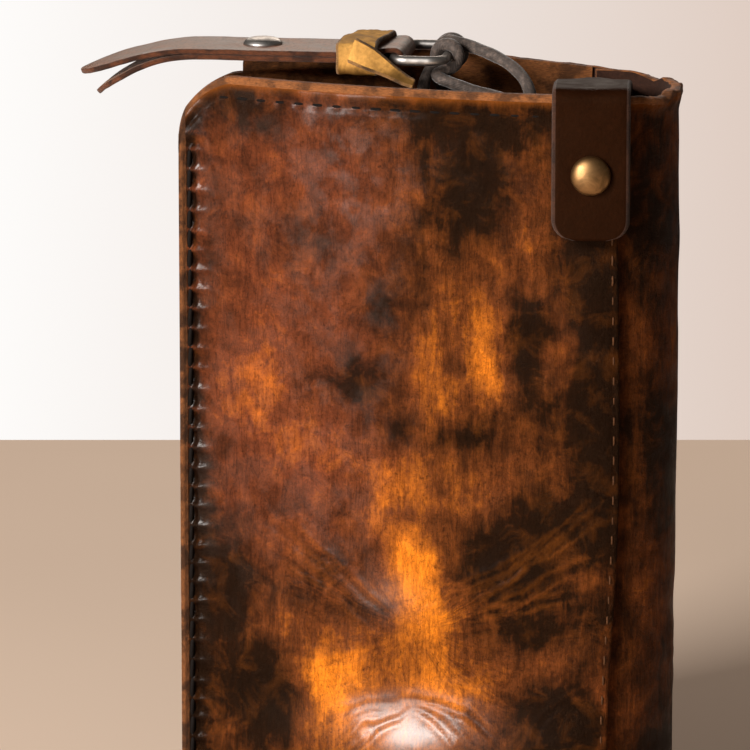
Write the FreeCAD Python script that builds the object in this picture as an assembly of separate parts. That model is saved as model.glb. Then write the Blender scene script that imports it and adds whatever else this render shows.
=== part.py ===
import FreeCAD, Part
import math
import os

V = FreeCAD.Vector

# A tall leather ever-ready case, millimetres. +Z is up, the front faces -Y and the origin is
# the mouth of the tripod socket in the base. In plan the case is a teardrop: the front and back
# walls meet in a flat laced seam at the left and bulge out to a half-round end at the right.

# Case body
RIM = 182.0                 # height of the front rim
X_SEAM = -85.0              # cut edge of the laced seam
X_END = 41.0                # outermost point of the round end at the rim
LEATHER = 2.0               # thickness of each wall
SEAM_WIDTH = 6.0            # flat width of the laced seam
CORNER = 15.5               # radius of the upper left corner
HALF_DEPTH = 23.0           # half of the case's depth at the rim
COLLAR = 4.6                # how far the back wall stands above the front rim
END_DROP = 1.0              # how far the rim falls round the end
LAYER_GAP = 0.05            # air between glued layers
# Height, change of half depth and change of the round end's place, along the swelling walls
SWELL = ((0.0, 0.6, -0.4), (18.0, 1.8, -0.2), (62.0, -0.3, 0.1), (145.0, 0.0, 0.3), (190.0, 0.0, 0.0))
LAP_ANGLE = 21.0            # where the walls end over the side panel, from straight ahead
UNDER_ANGLE = -4.0          # where the side panel ends under the walls
INTERLINING = 1.15
LINING = 0.75
FACING_HEIGHT = 12.0        # strip that stiffens the rim

# Base
PAN_FLOOR = 2.5
PAN_FLANGE = 1.6
PAN_HEIGHT = 14.0
BOARD = 4.0
FELT = 1.2

# Retaining screw, 1/4 inch thread with a 1/4 inch socket below
THREAD_R = 3.15
SOCKET_R = 2.55
SOCKET_DEPTH = 5.0
HEAD_R = 10.0
HEAD_HEIGHT = 6.3
SCREW_HOLE_R = 11.5
PLATE_R = 14.5
PLATE = 1.2
STUD_TOP = 14.5             # top of the screw that enters the camera
FLUTES = 24

# Closing tab: it comes up the inside of the back wall, crosses the mouth and hangs in front
TAB_ANGLE = 5.0             # turned a little towards the round end
TAB_WIDTH = 19.0
TAB = 2.0
TAB_DROP = 34.5             # from the rim to the lower edge
SNAP_DROP = 18.5            # from the rim to the snap
TAB_STAND_OFF = 2.4         # from the wall to the tab's inner face
TAB_LIFT = 0.5              # from the rim to the tab's underside
TAB_SAG = 4.0               # how far the crossing part drops towards the back
BEND_R = 3.5                # outside of the fold over the rim
LEG_LENGTH = 28.0           # sewn-down part inside the back wall

# Ring strap at the upper left, a strap end folded round a metal loop
STRAP_WIDTH = 22.0
PLY = 1.3
STRAP_LIFT = 5.0            # from the rim to the strap's underside
X_FLEX = X_SEAM + 6.0       # where the two free ends start to bend
X_RIVET = X_SEAM + 21.0
X_BAR = -30.0               # bar of the metal loop inside the fold
STRAP_LOW = RIM + STRAP_LIFT
STRAP_TOP = STRAP_LOW + 2 * PLY
STRAP_MIDDLE = STRAP_LOW + PLY
HALF_STRAP = STRAP_WIDTH / 2
UPPER_REACH = 30.0
UPPER_DROP = 7.0
LOWER_REACH = 26.0
LOWER_DROP = 10.5
RING_WIRE = 2.4
RING_INNER = 10.0
RING_SIDE = 13.3            # from the middle to the loop's side wires

# Thong and lace
THONG = 1.5
THONG_WIDTH = 10.5
THONG_ROOM = 2.45           # half the height inside the thong's band
X_THONG = -38.0
LACE = 3.0

# Stitching
PITCH = 5.0
THREAD = 0.8
LACING = 1.1


# ------------------------------------------------------------------ helpers

def save(shape, name):
    shape.exportStep("parts/" + name + ".step")
    state = "valid" if shape.isValid() else "NOT VALID"
    print("%-24s %-9s %3d solids %12.1f mm3" % (name, state, len(shape.Solids), shape.Volume))


def group(shapes):
    solids = []
    for shape in shapes:
        solids.extend(shape.Solids)
    return Part.makeCompound(solids)


def box(x0, x1, y0, y1, z0, z1):
    return Part.makeBox(x1 - x0, y1 - y0, z1 - z0, V(x0, y0, z0))


def rod(start, end, radius):
    line = end - start
    return Part.makeCylinder(radius, line.Length, start, line)


def lathe(profile, at=V(0, 0, 0), axis=V(0, 0, 1)):
    """Turn (radius, height) points about the axis."""
    points = [V(r, 0, h) for r, h in profile]
    face = Part.Face(Part.makePolygon(points + [points[0]]))
    solid = face.revolve(V(0, 0, 0), V(0, 0, 1), 360)
    turn = FreeCAD.Rotation(V(0, 0, 1), axis)
    solid.Placement = FreeCAD.Placement(at, turn)
    return Part.Solid(solid) if solid.ShapeType == "Shell" else solid


def prism(points, direction):
    face = Part.Face(Part.makePolygon(points + [points[0]]))
    return face.extrude(direction)


def arc(a, b, c):
    return Part.Arc(a, b, c).toShape()


def on_circle(cx, cy, radius, degrees, z):
    """Point on a circle, with the angle counted from -Y towards +X."""
    turn = math.radians(degrees)
    return V(cx + radius * math.sin(turn), cy - radius * math.cos(turn), z)


def mirrored(shape):
    return shape.mirror(V(0, 0, 0), V(0, 1, 0))


def tube(points, diameter):
    """Straight runs joined by tangent arcs, each as large as its two runs allow."""
    edges = []
    start = points[0]
    for before, corner, after in zip(points, points[1:], points[2:]):
        back = before - corner
        onward = after - corner
        half_turn = (math.pi - back.getAngle(onward)) / 2
        setback = 0.45 * min(back.Length, onward.Length)
        back.normalize()
        onward.normalize()
        inward = back + onward
        inward.normalize()
        radius = setback / math.tan(half_turn)
        reach = radius / math.cos(half_turn) - radius
        first = corner + back * setback
        last = corner + onward * setback
        edges.append(Part.makeLine(start, first))
        edges.append(arc(first, corner + inward * reach, last))
        start = last
    edges.append(Part.makeLine(start, points[-1]))
    path = Part.Wire(edges)
    along = points[1] - points[0]
    section = Part.Wire(Part.makeCircle(diameter / 2, points[0], along))
    return path.makePipeShell([section], True, True)


# ------------------------------------------------------------------ walls

class Level:
    """The teardrop's arcs at one height, and their points at any inset from the outside."""

    def __init__(self, z, deeper, further):
        self.z = z
        self.half = HALF_DEPTH + deeper
        self.cx = X_END + further - self.half
        run = self.cx - (X_SEAM + SEAM_WIDTH)
        rise = self.half - LEATHER
        self.big = (run * run + rise * rise) / (2 * rise)
        self.cy = self.big - self.half

    def wall(self, x, inset):
        """Point of the front wall at x, left of the round end."""
        radius = self.big - inset
        return V(x, self.cy - math.sqrt(radius ** 2 - (x - self.cx) ** 2), self.z)

    def meets(self, y, inset):
        """Where the front wall at this inset comes to y."""
        return self.cx - math.sqrt((self.big - inset) ** 2 - (self.cy - y) ** 2)

    def round(self, degrees, inset):
        return on_circle(self.cx, 0, self.half - inset, degrees, self.z)

    def wall_arc(self, x0, x1, inset):
        return arc(self.wall(x0, inset), self.wall((x0 + x1) / 2, inset), self.wall(x1, inset))

    def round_arc(self, a0, a1, inset):
        return arc(self.round(a0, inset), self.round((a0 + a1) / 2, inset), self.round(a1, inset))


LEVELS = [Level(*row) for row in SWELL]
TOP = LEVELS[-1]


def level_at(z):
    """Level between two of the given ones, near enough to aim at the wall from outside."""
    for low, high in zip(SWELL, SWELL[1:]):
        if z <= high[0]:
            break
    part = (z - low[0]) / (high[0] - low[0])
    return Level(z, low[1] + part * (high[1] - low[1]), low[2] + part * (high[2] - low[2]))


def loft(section):
    return Part.makeLoft([section(level) for level in LEVELS], True, False)


def panel_section(level):
    """Front wall from the seam's cut edge to its lap over the side panel."""
    root = X_SEAM + SEAM_WIDTH
    inner = level.meets(0, LEATHER)
    z = level.z
    return Part.Wire([
        Part.makeLine(V(X_SEAM, -LEATHER, z), V(root, -LEATHER, z)),
        level.wall_arc(root, level.cx, 0),
        level.round_arc(0, LAP_ANGLE, 0),
        Part.makeLine(level.round(LAP_ANGLE, 0), level.round(LAP_ANGLE, LEATHER)),
        level.round_arc(LAP_ANGLE, 0, LEATHER),
        level.wall_arc(level.cx, inner, LEATHER),
        Part.makeLine(V(inner, 0, z), V(X_SEAM, 0, z)),
        Part.makeLine(V(X_SEAM, 0, z), V(X_SEAM, -LEATHER, z)),
    ])


def side_section(level):
    near = LEATHER + LAYER_GAP
    far = near + LEATHER
    start, end = UNDER_ANGLE, 180 - UNDER_ANGLE
    return Part.Wire([
        level.round_arc(start, end, near),
        Part.makeLine(level.round(end, near), level.round(end, far)),
        level.round_arc(end, start, far),
        Part.makeLine(level.round(start, far), level.round(start, near)),
    ])


def layer_section(near, far):
    """Section of a layer on the inside of the front wall, up to the side panel."""
    deepest = 2 * LEATHER

    def section(level):
        x0 = level.meets(-0.15, deepest)
        x1 = level.round(UNDER_ANGLE, near).x - 0.4
        return Part.Wire([
            level.wall_arc(x0, x1, near),
            Part.makeLine(level.wall(x1, near), level.wall(x1, far)),
            level.wall_arc(x1, x0, far),
            Part.makeLine(level.wall(x0, far), level.wall(x0, near)),
        ])

    return section


def core_section(inset):
    """Whole teardrop at an inset, for what fills the case from wall to wall."""

    def section(level):
        x0 = level.meets(-0.4, inset)
        left = level.wall(x0, inset)
        front = level.wall_arc(x0, level.cx, inset)
        back = front.mirror(V(0, 0, 0), V(0, 1, 0))
        end = level.round_arc(0, 180, inset)
        return Part.Wire(Part.__sortEdges__([
            front, end, back, Part.makeLine(V(left.x, -left.y, left.z), left)]))

    return section


def band(z0, z1):
    """Everything between two heights."""
    return box(X_SEAM - 40, X_END + 20, -60, 60, z0, z1)


def corner_cutter():
    """Everything beyond the rounded upper left corner."""
    centre = V(X_SEAM + CORNER, -50, RIM - CORNER)
    block = box(X_SEAM - 10, X_SEAM + CORNER, -50, 50, RIM - CORNER, RIM + CORNER + 10)
    return block.cut(Part.makeCylinder(CORNER, 100, centre, V(0, 1, 0)))


def round_corner(shape):
    return shape.cut(corner_cutter())


def outline(edges):
    """Everything behind and in front of a closed outline in the XZ plane."""
    face = Part.Face(Part.Wire(edges))
    face.translate(V(0, -60, 0))
    return face.extrude(V(0, 120, 0))


def back_outline():
    """Elevation of the back wall: a collar above the rim that slopes down towards the round end."""
    left, far = X_SEAM - 5, X_END + 10
    step = X_SEAM + CORNER
    ease = 2.5
    top = RIM + COLLAR
    slope = -26.0
    low = RIM - END_DROP
    places = [(step + ease, top), (slope, top), (TOP.cx, RIM + 0.2), (TOP.cx + 10, low), (far, low),
              (far, -1), (left, -1), (left, RIM), (step, RIM), (step, top - ease)]
    corners = [V(x, 0, z) for x, z in places]
    edges = [Part.makeLine(a, b) for a, b in zip(corners, corners[1:])]
    edges.append(arc(corners[-1], V(step + 0.3 * ease, 0, top - 0.3 * ease), corners[0]))
    return outline(edges)


def end_outline():
    """Elevation of the side panel, whose top falls a little round the end."""
    low = RIM - END_DROP
    places = [(0, RIM), (TOP.cx + 10, RIM), (TOP.cx + 12, low), (X_END + 10, low), (X_END + 10, -1), (0, -1)]
    corners = [V(x, 0, z) for x, z in places]
    return outline([Part.makeLine(a, b) for a, b in zip(corners, corners[1:] + corners[:1])])


def round_corner_back(shape):
    """Back wall's outline, with its collar and a notch for the thong."""
    wide = THONG_WIDTH / 2 + 0.6
    notch = box(X_THONG - wide, X_THONG + wide, -60, 60, STRAP_MIDDLE - THONG_ROOM - THONG - 0.4, RIM + 20)
    return shape.common(back_outline()).common(band(0, RIM + 20)).cut(corner_cutter()).cut(notch)


X_THREAD = X_SEAM + 3.4
GROOVE = 3.2
GROOVE_DEPTH = 0.9
LACING_HEIGHTS = [8 + PITCH * i for i in range(int((RIM - CORNER - 8) / PITCH) + 1)]


def lacing_cutter():
    """Channel on both sides of the seam and the holes that the thread passes through."""
    low, high = LACING_HEIGHTS[0] - 2, LACING_HEIGHTS[-1] + 2
    x0, x1 = X_THREAD - GROOVE / 2, X_THREAD + GROOVE / 2
    bottom = LEATHER - GROOVE_DEPTH
    cutters = [box(x0, x1, -LEATHER - 1, -bottom, low, high), box(x0, x1, bottom, LEATHER + 1, low, high)]
    for z in LACING_HEIGHTS:
        cutters.append(rod(V(X_THREAD, -3, z), V(X_THREAD, 3, z), LACING / 2 + 0.05))
    return Part.makeCompound(cutters)


def lacing():
    """One thread, sewn back and forth through the seam: two upright runs joined through each hole."""
    depth = LEATHER - GROOVE_DEPTH + LACING / 2 + 0.02
    low, high = LACING_HEIGHTS[0] - LACING, LACING_HEIGHTS[-1] + LACING
    runs = []
    for side in (-1, 1):
        runs.append(rod(V(X_THREAD, side * depth, low), V(X_THREAD, side * depth, high), LACING / 2))
    links = []
    for z in LACING_HEIGHTS:
        links.append(rod(V(X_THREAD, -depth, z), V(X_THREAD, depth, z), LACING / 2 - 0.1))
    return runs[0].multiFuse(runs[1:] + links)


# ------------------------------------------------------------------ tab frame

def to_tab(shape):
    """From the tab's own frame, with the round end's axis at its origin, to the case's."""
    turned = shape.copy()
    turned.rotate(V(0, 0, 0), V(0, 0, 1), TAB_ANGLE)
    turned.translate(V(TOP.cx, 0, 0))
    return turned


def outside_at(wall, start, inside):
    """Outermost point of a wall on the line from start, which is well clear of it, to inside."""
    hit = Part.makeLine(start, inside).common(wall)
    return min((v.Point for v in hit.Vertexes), key=lambda p: p.distanceToPoint(start))


SNAP_Z = RIM - SNAP_DROP
RIVET_ZS = (RIM - 12.0, RIM - 23.0)
HINGE_Z = RIM + TAB_LIFT + TAB - BEND_R


def tab_strap(wall_r, leg_r):
    """Leg inside the back wall, part across the mouth and fold over the rim, as one strip."""
    half = TAB_WIDTH / 2
    inner = wall_r + TAB_STAND_OFF
    bend_y = -(inner + TAB - BEND_R)
    top = RIM + TAB_LIFT + TAB
    drop = top - TAB_SAG
    across = prism([
        V(-half, bend_y, top), V(-half, -12, top - 0.3), V(-half, 4, top - 0.6 * TAB_SAG),
        V(-half, leg_r - 1, drop), V(-half, leg_r - 1, drop - TAB),
        V(-half, 4, top - 0.6 * TAB_SAG - TAB), V(-half, -12, top - 0.3 - TAB), V(-half, bend_y, top - TAB),
    ], V(TAB_WIDTH, 0, 0))
    beyond = box(-half, half, 0, 40, 0, RIM + 20).cut(Part.makeCylinder(leg_r, RIM + 20))
    across = across.cut(beyond)
    centre = V(-half, bend_y, HINGE_Z)
    fold = Part.makeCylinder(BEND_R, TAB_WIDTH, centre, V(1, 0, 0))
    fold = fold.cut(Part.makeCylinder(BEND_R - TAB, TAB_WIDTH, centre, V(1, 0, 0)))
    fold = fold.common(box(-half, half, bend_y - BEND_R, bend_y, HINGE_Z, top))
    ring = Part.makeCylinder(leg_r, LEG_LENGTH, V(0, 0, drop - LEG_LENGTH))
    ring = ring.cut(Part.makeCylinder(leg_r - TAB, LEG_LENGTH, V(0, 0, drop - LEG_LENGTH)))
    leg = ring.common(box(-half, half, 0, leg_r, drop - LEG_LENGTH, drop))
    solid = across.multiFuse([fold, leg]).removeSplitter()
    for z in RIVET_ZS:
        solid = solid.cut(rod(V(0, 5, z), V(0, 30, z), 1.3))
    return to_tab(solid)


def tab_flap(wall_r):
    half = TAB_WIDTH / 2
    inner = wall_r + TAB_STAND_OFF
    low = RIM - TAB_DROP
    rounding = 5.0
    slab = box(-half, half, -inner - TAB, -inner, low, HINGE_Z - 0.05)
    corners = [e for e in slab.Edges if abs(e.CenterOfMass.z - low) < 0.01
               and abs(abs(e.CenterOfMass.x) - half) < 0.01]
    slab = slab.makeFillet(rounding, corners)
    hole = rod(V(0, -inner - 5, SNAP_Z), V(0, -inner + 5, SNAP_Z), 1.6)
    return to_tab(slab.cut(hole))


def snap(wall_r, inside_r):
    """The four turned parts of the snap, from the dome inwards."""
    out = V(0, -1, 0)
    at = V(0, 0, SNAP_Z)
    face = wall_r + TAB_STAND_OFF + TAB
    dome = [(0, face - 2.4), (1.45, face - 2.4), (1.45, face + 0.02), (4.75, face + 0.02), (4.75, face + 0.5),
            (4.3, face + 1.5), (3.2, face + 2.3), (1.7, face + 2.8), (0, face + 2.95)]
    socket = [(1.95, wall_r + 0.75), (4.4, wall_r + 0.75), (4.4, wall_r + 2.35), (1.5, wall_r + 2.35),
              (1.5, wall_r + 1.95), (1.95, wall_r + 1.95)]
    stud = [(1.55, wall_r + 0.1), (3.8, wall_r + 0.1), (3.8, wall_r + 0.6), (1.9, wall_r + 0.6),
            (1.9, wall_r + 1.5), (1.5, wall_r + 1.85), (0, wall_r + 1.85), (0, wall_r + 1.25),
            (1.55, wall_r + 1.25)]
    post = [(0, inside_r - 1.4), (4.0, inside_r - 1.4), (4.0, inside_r - 0.8), (1.5, inside_r - 0.8),
            (1.5, wall_r + 1.2), (0, wall_r + 1.2)]
    return [to_tab(lathe(profile, at, out)) for profile in (dome, socket, stud, post)]


def tab_rivets(wall_r, leg_r):
    rivets = []
    for z in RIVET_ZS:
        low, high = leg_r - TAB - 0.35, wall_r + 0.65
        profile = [(0, low - 0.8), (2.4, low - 0.8), (2.4, low), (1.25, low), (1.25, high), (3.0, high),
                   (3.0, high + 0.4), (2.2, high + 1.0), (0, high + 1.2)]
        rivets.append(to_tab(lathe(profile, V(0, 0, z), V(0, 1, 0))))
    return rivets


# ------------------------------------------------------------------ base

RIVET_CIRCLE = 13.1


def screw_hole(radius, z0, z1):
    return Part.makeCylinder(radius, z1 - z0, V(0, 0, z0))


def plate_rivet_places():
    return [on_circle(0, 0, RIVET_CIRCLE, 60 + 120 * i, 0) for i in range(3)]


def base_pan(outer, inner):
    pan = outer.common(band(0, PAN_HEIGHT)).cut(inner.common(band(PAN_FLOOR, RIM)))
    return pan.cut(screw_hole(SCREW_HOLE_R, -1, 20))


def base_board(fill):
    board = fill.common(band(PAN_FLOOR + LAYER_GAP, PAN_FLOOR + BOARD))
    board = board.cut(screw_hole(SCREW_HOLE_R, -1, 20))
    for place in plate_rivet_places():
        board = board.cut(Part.makeCylinder(0.85, 20, place))
    return board


def base_felt(fill):
    low = PAN_FLOOR + BOARD + LAYER_GAP
    felt = fill.common(band(low, low + FELT))
    return felt.cut(screw_hole(PLATE_R + 0.6, -1, 20))


def socket_plate():
    low = PAN_FLOOR + BOARD + 0.02
    plate = Part.makeCylinder(PLATE_R, PLATE, V(0, 0, low))
    plate = plate.cut(screw_hole(THREAD_R + 0.08, -1, 20))
    for place in plate_rivet_places():
        plate = plate.cut(Part.makeCylinder(0.85, 20, place))
    return plate


def plate_screws():
    """Three flat-headed nails that hold the plate on the board."""
    top = PAN_FLOOR + BOARD + PLATE + 0.05
    profile = [(0, PAN_FLOOR + 0.4), (0.8, PAN_FLOOR + 0.9), (0.8, top), (1.5, top), (1.3, top + 0.5),
               (0, top + 0.7)]
    return [lathe(profile, place) for place in plate_rivet_places()]


def retaining_screw():
    """Fluted head with a coin slot and the tripod socket, and the stud that holds the camera."""
    ring_low = PAN_FLOOR + BOARD + PLATE + 0.1
    solid = lathe([
        (0, 0), (HEAD_R - 0.6, 0), (HEAD_R, 0.6), (HEAD_R, HEAD_HEIGHT - 0.5), (HEAD_R - 0.5, HEAD_HEIGHT),
        (THREAD_R, HEAD_HEIGHT), (THREAD_R, ring_low), (2.4, ring_low), (2.4, ring_low + 0.7),
        (THREAD_R, ring_low + 0.7), (THREAD_R, STUD_TOP - 0.7), (THREAD_R - 0.7, STUD_TOP), (0, STUD_TOP)])
    cutters = [Part.makeCylinder(SOCKET_R, SOCKET_DEPTH, V(0, 0, 0))]
    for side in (-1, 1):
        cutters.append(box(side * 7.0 - 3.2, side * 7.0 + 3.2, -0.9, 0.9, -1, 1.3))
    for i in range(FLUTES):
        place = on_circle(0, 0, HEAD_R + 0.15, 360 * i / FLUTES, -1)
        cutters.append(Part.makeCylinder(0.5, HEAD_HEIGHT + 2, place))
    return solid.cut(Part.makeCompound(cutters))


def retaining_ring():
    """Open spring ring in the screw's groove, above the plate."""
    low = PAN_FLOOR + BOARD + PLATE + 0.12
    ring = Part.makeCylinder(5.0, 0.6, V(0, 0, low)).cut(Part.makeCylinder(2.45, 0.6, V(0, 0, low)))
    return ring.cut(box(0, 6, -1.3, 1.3, low - 1, low + 2))


# ------------------------------------------------------------------ ring strap

def tangent_angle(centre, point, radius, side):
    """Angle of the tangent point, seen from the circle's centre, in the XZ plane."""
    dx, dz = point.x - centre.x, point.z - centre.z
    lean = math.acos(radius / math.hypot(dx, dz))
    return math.atan2(dz, dx) + side * lean


def strap_fold():
    """Both plies from the flex line to the fold round the loop's bar."""
    centre = V(X_BAR, 0, STRAP_MIDDLE)
    x_part = X_BAR - 10.0
    slit = 0.02

    def profile(radius, half):
        above = V(x_part, 0, STRAP_MIDDLE + half)
        below = V(x_part, 0, STRAP_MIDDLE - half)
        turn = tangent_angle(centre, above, radius, -1)
        touch = V(X_BAR + radius * math.cos(turn), 0, STRAP_MIDDLE + radius * math.sin(turn))
        under = V(touch.x, 0, 2 * STRAP_MIDDLE - touch.z)
        nose = V(X_BAR + radius, 0, STRAP_MIDDLE)
        edges = [
            Part.makeLine(V(X_FLEX, 0, STRAP_MIDDLE + half), above), Part.makeLine(above, touch),
            arc(touch, nose, under), Part.makeLine(under, below),
            Part.makeLine(below, V(X_FLEX, 0, STRAP_MIDDLE - half)),
            Part.makeLine(V(X_FLEX, 0, STRAP_MIDDLE - half), V(X_FLEX, 0, STRAP_MIDDLE + half)),
        ]
        face = Part.Face(Part.Wire(edges))
        face.translate(V(0, -HALF_STRAP, 0))
        return face.extrude(V(0, STRAP_WIDTH, 0))

    solid = profile(RING_WIRE / 2 + 0.1 + PLY, PLY).cut(profile(RING_WIRE / 2 + 0.1, slit))
    hole = Part.makeCylinder(1.6, 20, V(X_RIVET, 0, STRAP_LOW - 10))
    return solid.cut(hole)


def strap_end(reach, drop, z0, point):
    """Free end of one ply, drooping along an arc. point is how much of the end is tapered."""
    radius = (reach ** 2 + drop ** 2) / (2 * drop)
    root = X_FLEX - 0.05

    def curve(z, r):
        sweep = math.asin(reach / radius)
        centre = V(root, 0, z0 - radius)
        places = []
        for part in (0, 0.5, 1):
            turn = sweep * part
            places.append(V(centre.x - r * math.sin(turn), 0, centre.z + r * math.cos(turn)))
        return places

    low = curve(z0, radius)
    high = curve(z0, radius + PLY)
    face = Part.Face(Part.Wire([
        arc(*low), Part.makeLine(low[2], high[2]), arc(*reversed(high)), Part.makeLine(high[0], low[0])]))
    face.translate(V(0, -HALF_STRAP, 0))
    solid = face.extrude(V(0, STRAP_WIDTH, 0))
    end_x = min(low[2].x, high[2].x) - 0.5
    blunt = 3.0
    outline = prism([
        V(root + 1, -HALF_STRAP, z0 - 40), V(root + 1, HALF_STRAP, z0 - 40),
        V(end_x + point, HALF_STRAP, z0 - 40),
        V(end_x + point * 0.35, HALF_STRAP * 0.72, z0 - 40), V(end_x, blunt, z0 - 40),
        V(end_x, -blunt, z0 - 40), V(end_x + point * 0.35, -HALF_STRAP * 0.72, z0 - 40),
        V(end_x + point, -HALF_STRAP, z0 - 40)], V(0, 0, 80))
    return solid.common(outline)


def strap_rivet_cap():
    """Low plated dome on top, with the shank that goes through both plies."""
    z = STRAP_TOP + 0.02
    return lathe([
        (0, STRAP_LOW - 1.6), (1.2, STRAP_LOW - 1.6), (1.5, STRAP_LOW - 1.2), (1.5, z), (4.75, z),
        (4.75, z + 0.6), (4.0, z + 1.3), (2.6, z + 1.7), (0, z + 1.85)], V(X_RIVET, 0, 0))


def strap_rivet_burr():
    z = STRAP_LOW - 0.02
    return lathe([(1.55, z - 0.8), (3.0, z - 0.8), (3.6, z - 0.4), (3.6, z), (1.55, z)], V(X_RIVET, 0, 0))


def ring():
    """Plated wire loop: its near bar lies in the strap's fold, and the lace goes round the far one."""
    near = X_BAR
    far = X_BAR + RING_INNER + RING_WIRE
    side = RING_SIDE
    bend = 3.5
    z = STRAP_MIDDLE
    corner = bend * (1 - math.cos(math.pi / 4))
    edges = []
    places = [(near, -side, 1, 1), (far, -side, -1, 1), (far, side, -1, -1), (near, side, 1, -1)]
    for i, (x, y, sx, sy) in enumerate(places):
        nx, ny, tx, ty = places[(i + 1) % 4]
        along_x = i % 2 == 0
        start = V(x + sx * bend, y, z) if along_x else V(x, y + sy * bend, z)
        end = V(nx + tx * bend, ny, z) if along_x else V(nx, ny + ty * bend, z)
        edges.append(Part.makeLine(start, end))
        a = end
        b = V(nx + tx * corner, ny + ty * corner, z)
        c = V(nx, ny + ty * bend, z) if along_x else V(nx + tx * bend, ny, z)
        edges.append(arc(a, b, c))
    path = Part.Wire(Part.__sortEdges__(edges))
    start = V(near + bend, -side, z)
    section = Part.Wire(Part.makeCircle(RING_WIRE / 2, start, V(1, 0, 0)))
    return path.makePipeShell([section], True, True)


# ------------------------------------------------------------------ thong and lace

def thong():
    """Flat band round the strap, with its end hanging in front of the loop down to the rim."""
    x0, x1 = X_THONG - THONG_WIDTH / 2, X_THONG + THONG_WIDTH / 2
    front = -(RING_SIDE + RING_WIRE / 2 + 0.3)
    back = HALF_STRAP + 0.4
    low, high = STRAP_MIDDLE - THONG_ROOM, STRAP_MIDDLE + THONG_ROOM
    outer = box(x0, x1, front - THONG, back + THONG, low - THONG, high + THONG)
    long_edges = [e for e in outer.Edges if abs(e.BoundBox.XLength - THONG_WIDTH) < 0.01]
    outer = outer.makeFillet(2.6, long_edges)
    hole = box(x0 - 1, x1 + 1, front, back, low, high)
    long_edges = [e for e in hole.Edges if abs(e.BoundBox.XLength - THONG_WIDTH - 2) < 0.01]
    hole = hole.makeFillet(0.8, long_edges)
    y = front - THONG
    tail = prism([
        V(x1 - 6, y, high - 0.5), V(x1 - 0.1, y, high - 1.5), V(x1 + 8, y, RIM + 4.0),
        V(x1 + 11, y, RIM + 0.5), V(x1 + 2, y, RIM + 0.5), V(x1 - 6, y, low + 0.5)], V(0, THONG, 0))
    return outer.cut(hole).fuse(tail).removeSplitter()


X_FAR_BAR = X_BAR + RING_INNER + RING_WIRE


def coil(y_start, pitch, first, last):
    """Points of turns round the loop's far bar, every 45 degrees, from one angle down to another."""
    step = 45
    centreline = (RING_WIRE + LACE) / 2 + 0.2
    reach = centreline / math.cos(math.radians(step / 2))
    count = int((first - last) / step) + 1
    points = []
    for i in range(count):
        turn = math.radians(first - step * i)
        y = y_start - pitch * step * i / 360
        points.append(V(X_FAR_BAR + reach * math.cos(turn), y, STRAP_MIDDLE + reach * math.sin(turn)))
    return points


def lace_rear():
    """From the back wall round the loop and down to the front wall."""
    x = X_FAR_BAR
    rear = [V(x - 3, 14.6, RIM - 6), V(x - 4, 11.5, RIM - 3), V(x - 5, 8.0, RIM + 1)]
    turns = coil(5.6, 3.3, 202.5, -292.5)
    front = [V(x + 10, -3.0, RIM + 7.2), V(x + 17, -7.5, RIM + 4.5), V(x + 21.5, -11.5, RIM),
             V(x + 22.5, -13.5, RIM - 6)]
    return tube(rear + turns + front, LACE)


def lace_front():
    """Second strand, from inside the mouth round the loop and on to the tab's leg."""
    x = X_FAR_BAR
    rise = [V(x - 5.5, -5.2, RIM - 6), V(x - 6.5, -4.6, RIM - 1)]
    turns = coil(-3.4, 3.3, 202.5, -67.5)
    away = [V(x - 3.5, -8.2, RIM + 2.2)]
    along = [V(x + 4, -9.5, RIM - 0.5), V(x + 12, -10.0, RIM - 2.5), V(x + 20, -8.5, RIM - 4.5),
             V(x + 27, -5.0, RIM - 6.5), V(x + 31.5, 2.0, RIM - 9.5), V(x + 32.0, 9.0, RIM - 13.5),
             V(x + 31.8, 14.4, RIM - 17.3)]
    return tube(rise + turns + away + along, LACE)


# ------------------------------------------------------------------ stitching on the walls

def stitch(wall, a, b, outward):
    """One stitch lying on a wall between two places, found by looking in from outside."""
    ends = []
    for place in (a, b):
        hit = outside_at(wall, place + outward * 12, place - outward * 12)
        ends.append(hit + outward * (THREAD / 2 + 0.06))
    return rod(ends[0], ends[1], THREAD / 2)


def seam_stitches(wall, side):
    """Upright row beside the lap over the side panel. side is 1 in front and -1 behind."""
    angle = LAP_ANGLE - 7.5
    turn = math.radians(angle)
    outward = V(math.sin(turn), -side * math.cos(turn), 0)
    made = []
    z = 10.0
    while z < RIM - 6:
        if side < 0 or abs(z + 1.6 - SNAP_Z) > 7:
            ends = []
            for height in (z, z + 3.2):
                level = level_at(height)
                ends.append(V(level.cx, 0, height) + outward * level.half)
            made.append(stitch(wall, ends[0], ends[1], outward))
        z += PITCH
    return made


def row_stitches(wall, side, x0, x1, z):
    """Level row along a wall, left of the round end."""
    made = []
    x = x0
    outward = V(0, -side, 0)
    while x < x1:
        places = []
        for px in (x, x + 3.1):
            place = level_at(z).wall(px, 0)
            places.append(V(px, side * place.y, z))
        made.append(stitch(wall, places[0], places[1], outward))
        x += PITCH
    return made


def end_stitches(wall, z):
    """Level row round the half-round end."""
    made = []
    level = level_at(z)
    step = math.degrees(PITCH / level.half)
    angle = LAP_ANGLE + 6
    while angle < 180 - LAP_ANGLE - 10:
        ends = []
        for turn in (angle, angle + 0.6 * step):
            outward = on_circle(0, 0, 1, turn, 0)
            base = V(level.cx, 0, z) + outward * level.half
            hit = outside_at(wall, base + outward * 12, base - outward * 12)
            ends.append(hit + outward * (THREAD / 2 + 0.12))
        made.append(rod(ends[0], ends[1], THREAD / 2))
        angle += step
    return made


# ------------------------------------------------------------------ make everything

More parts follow.
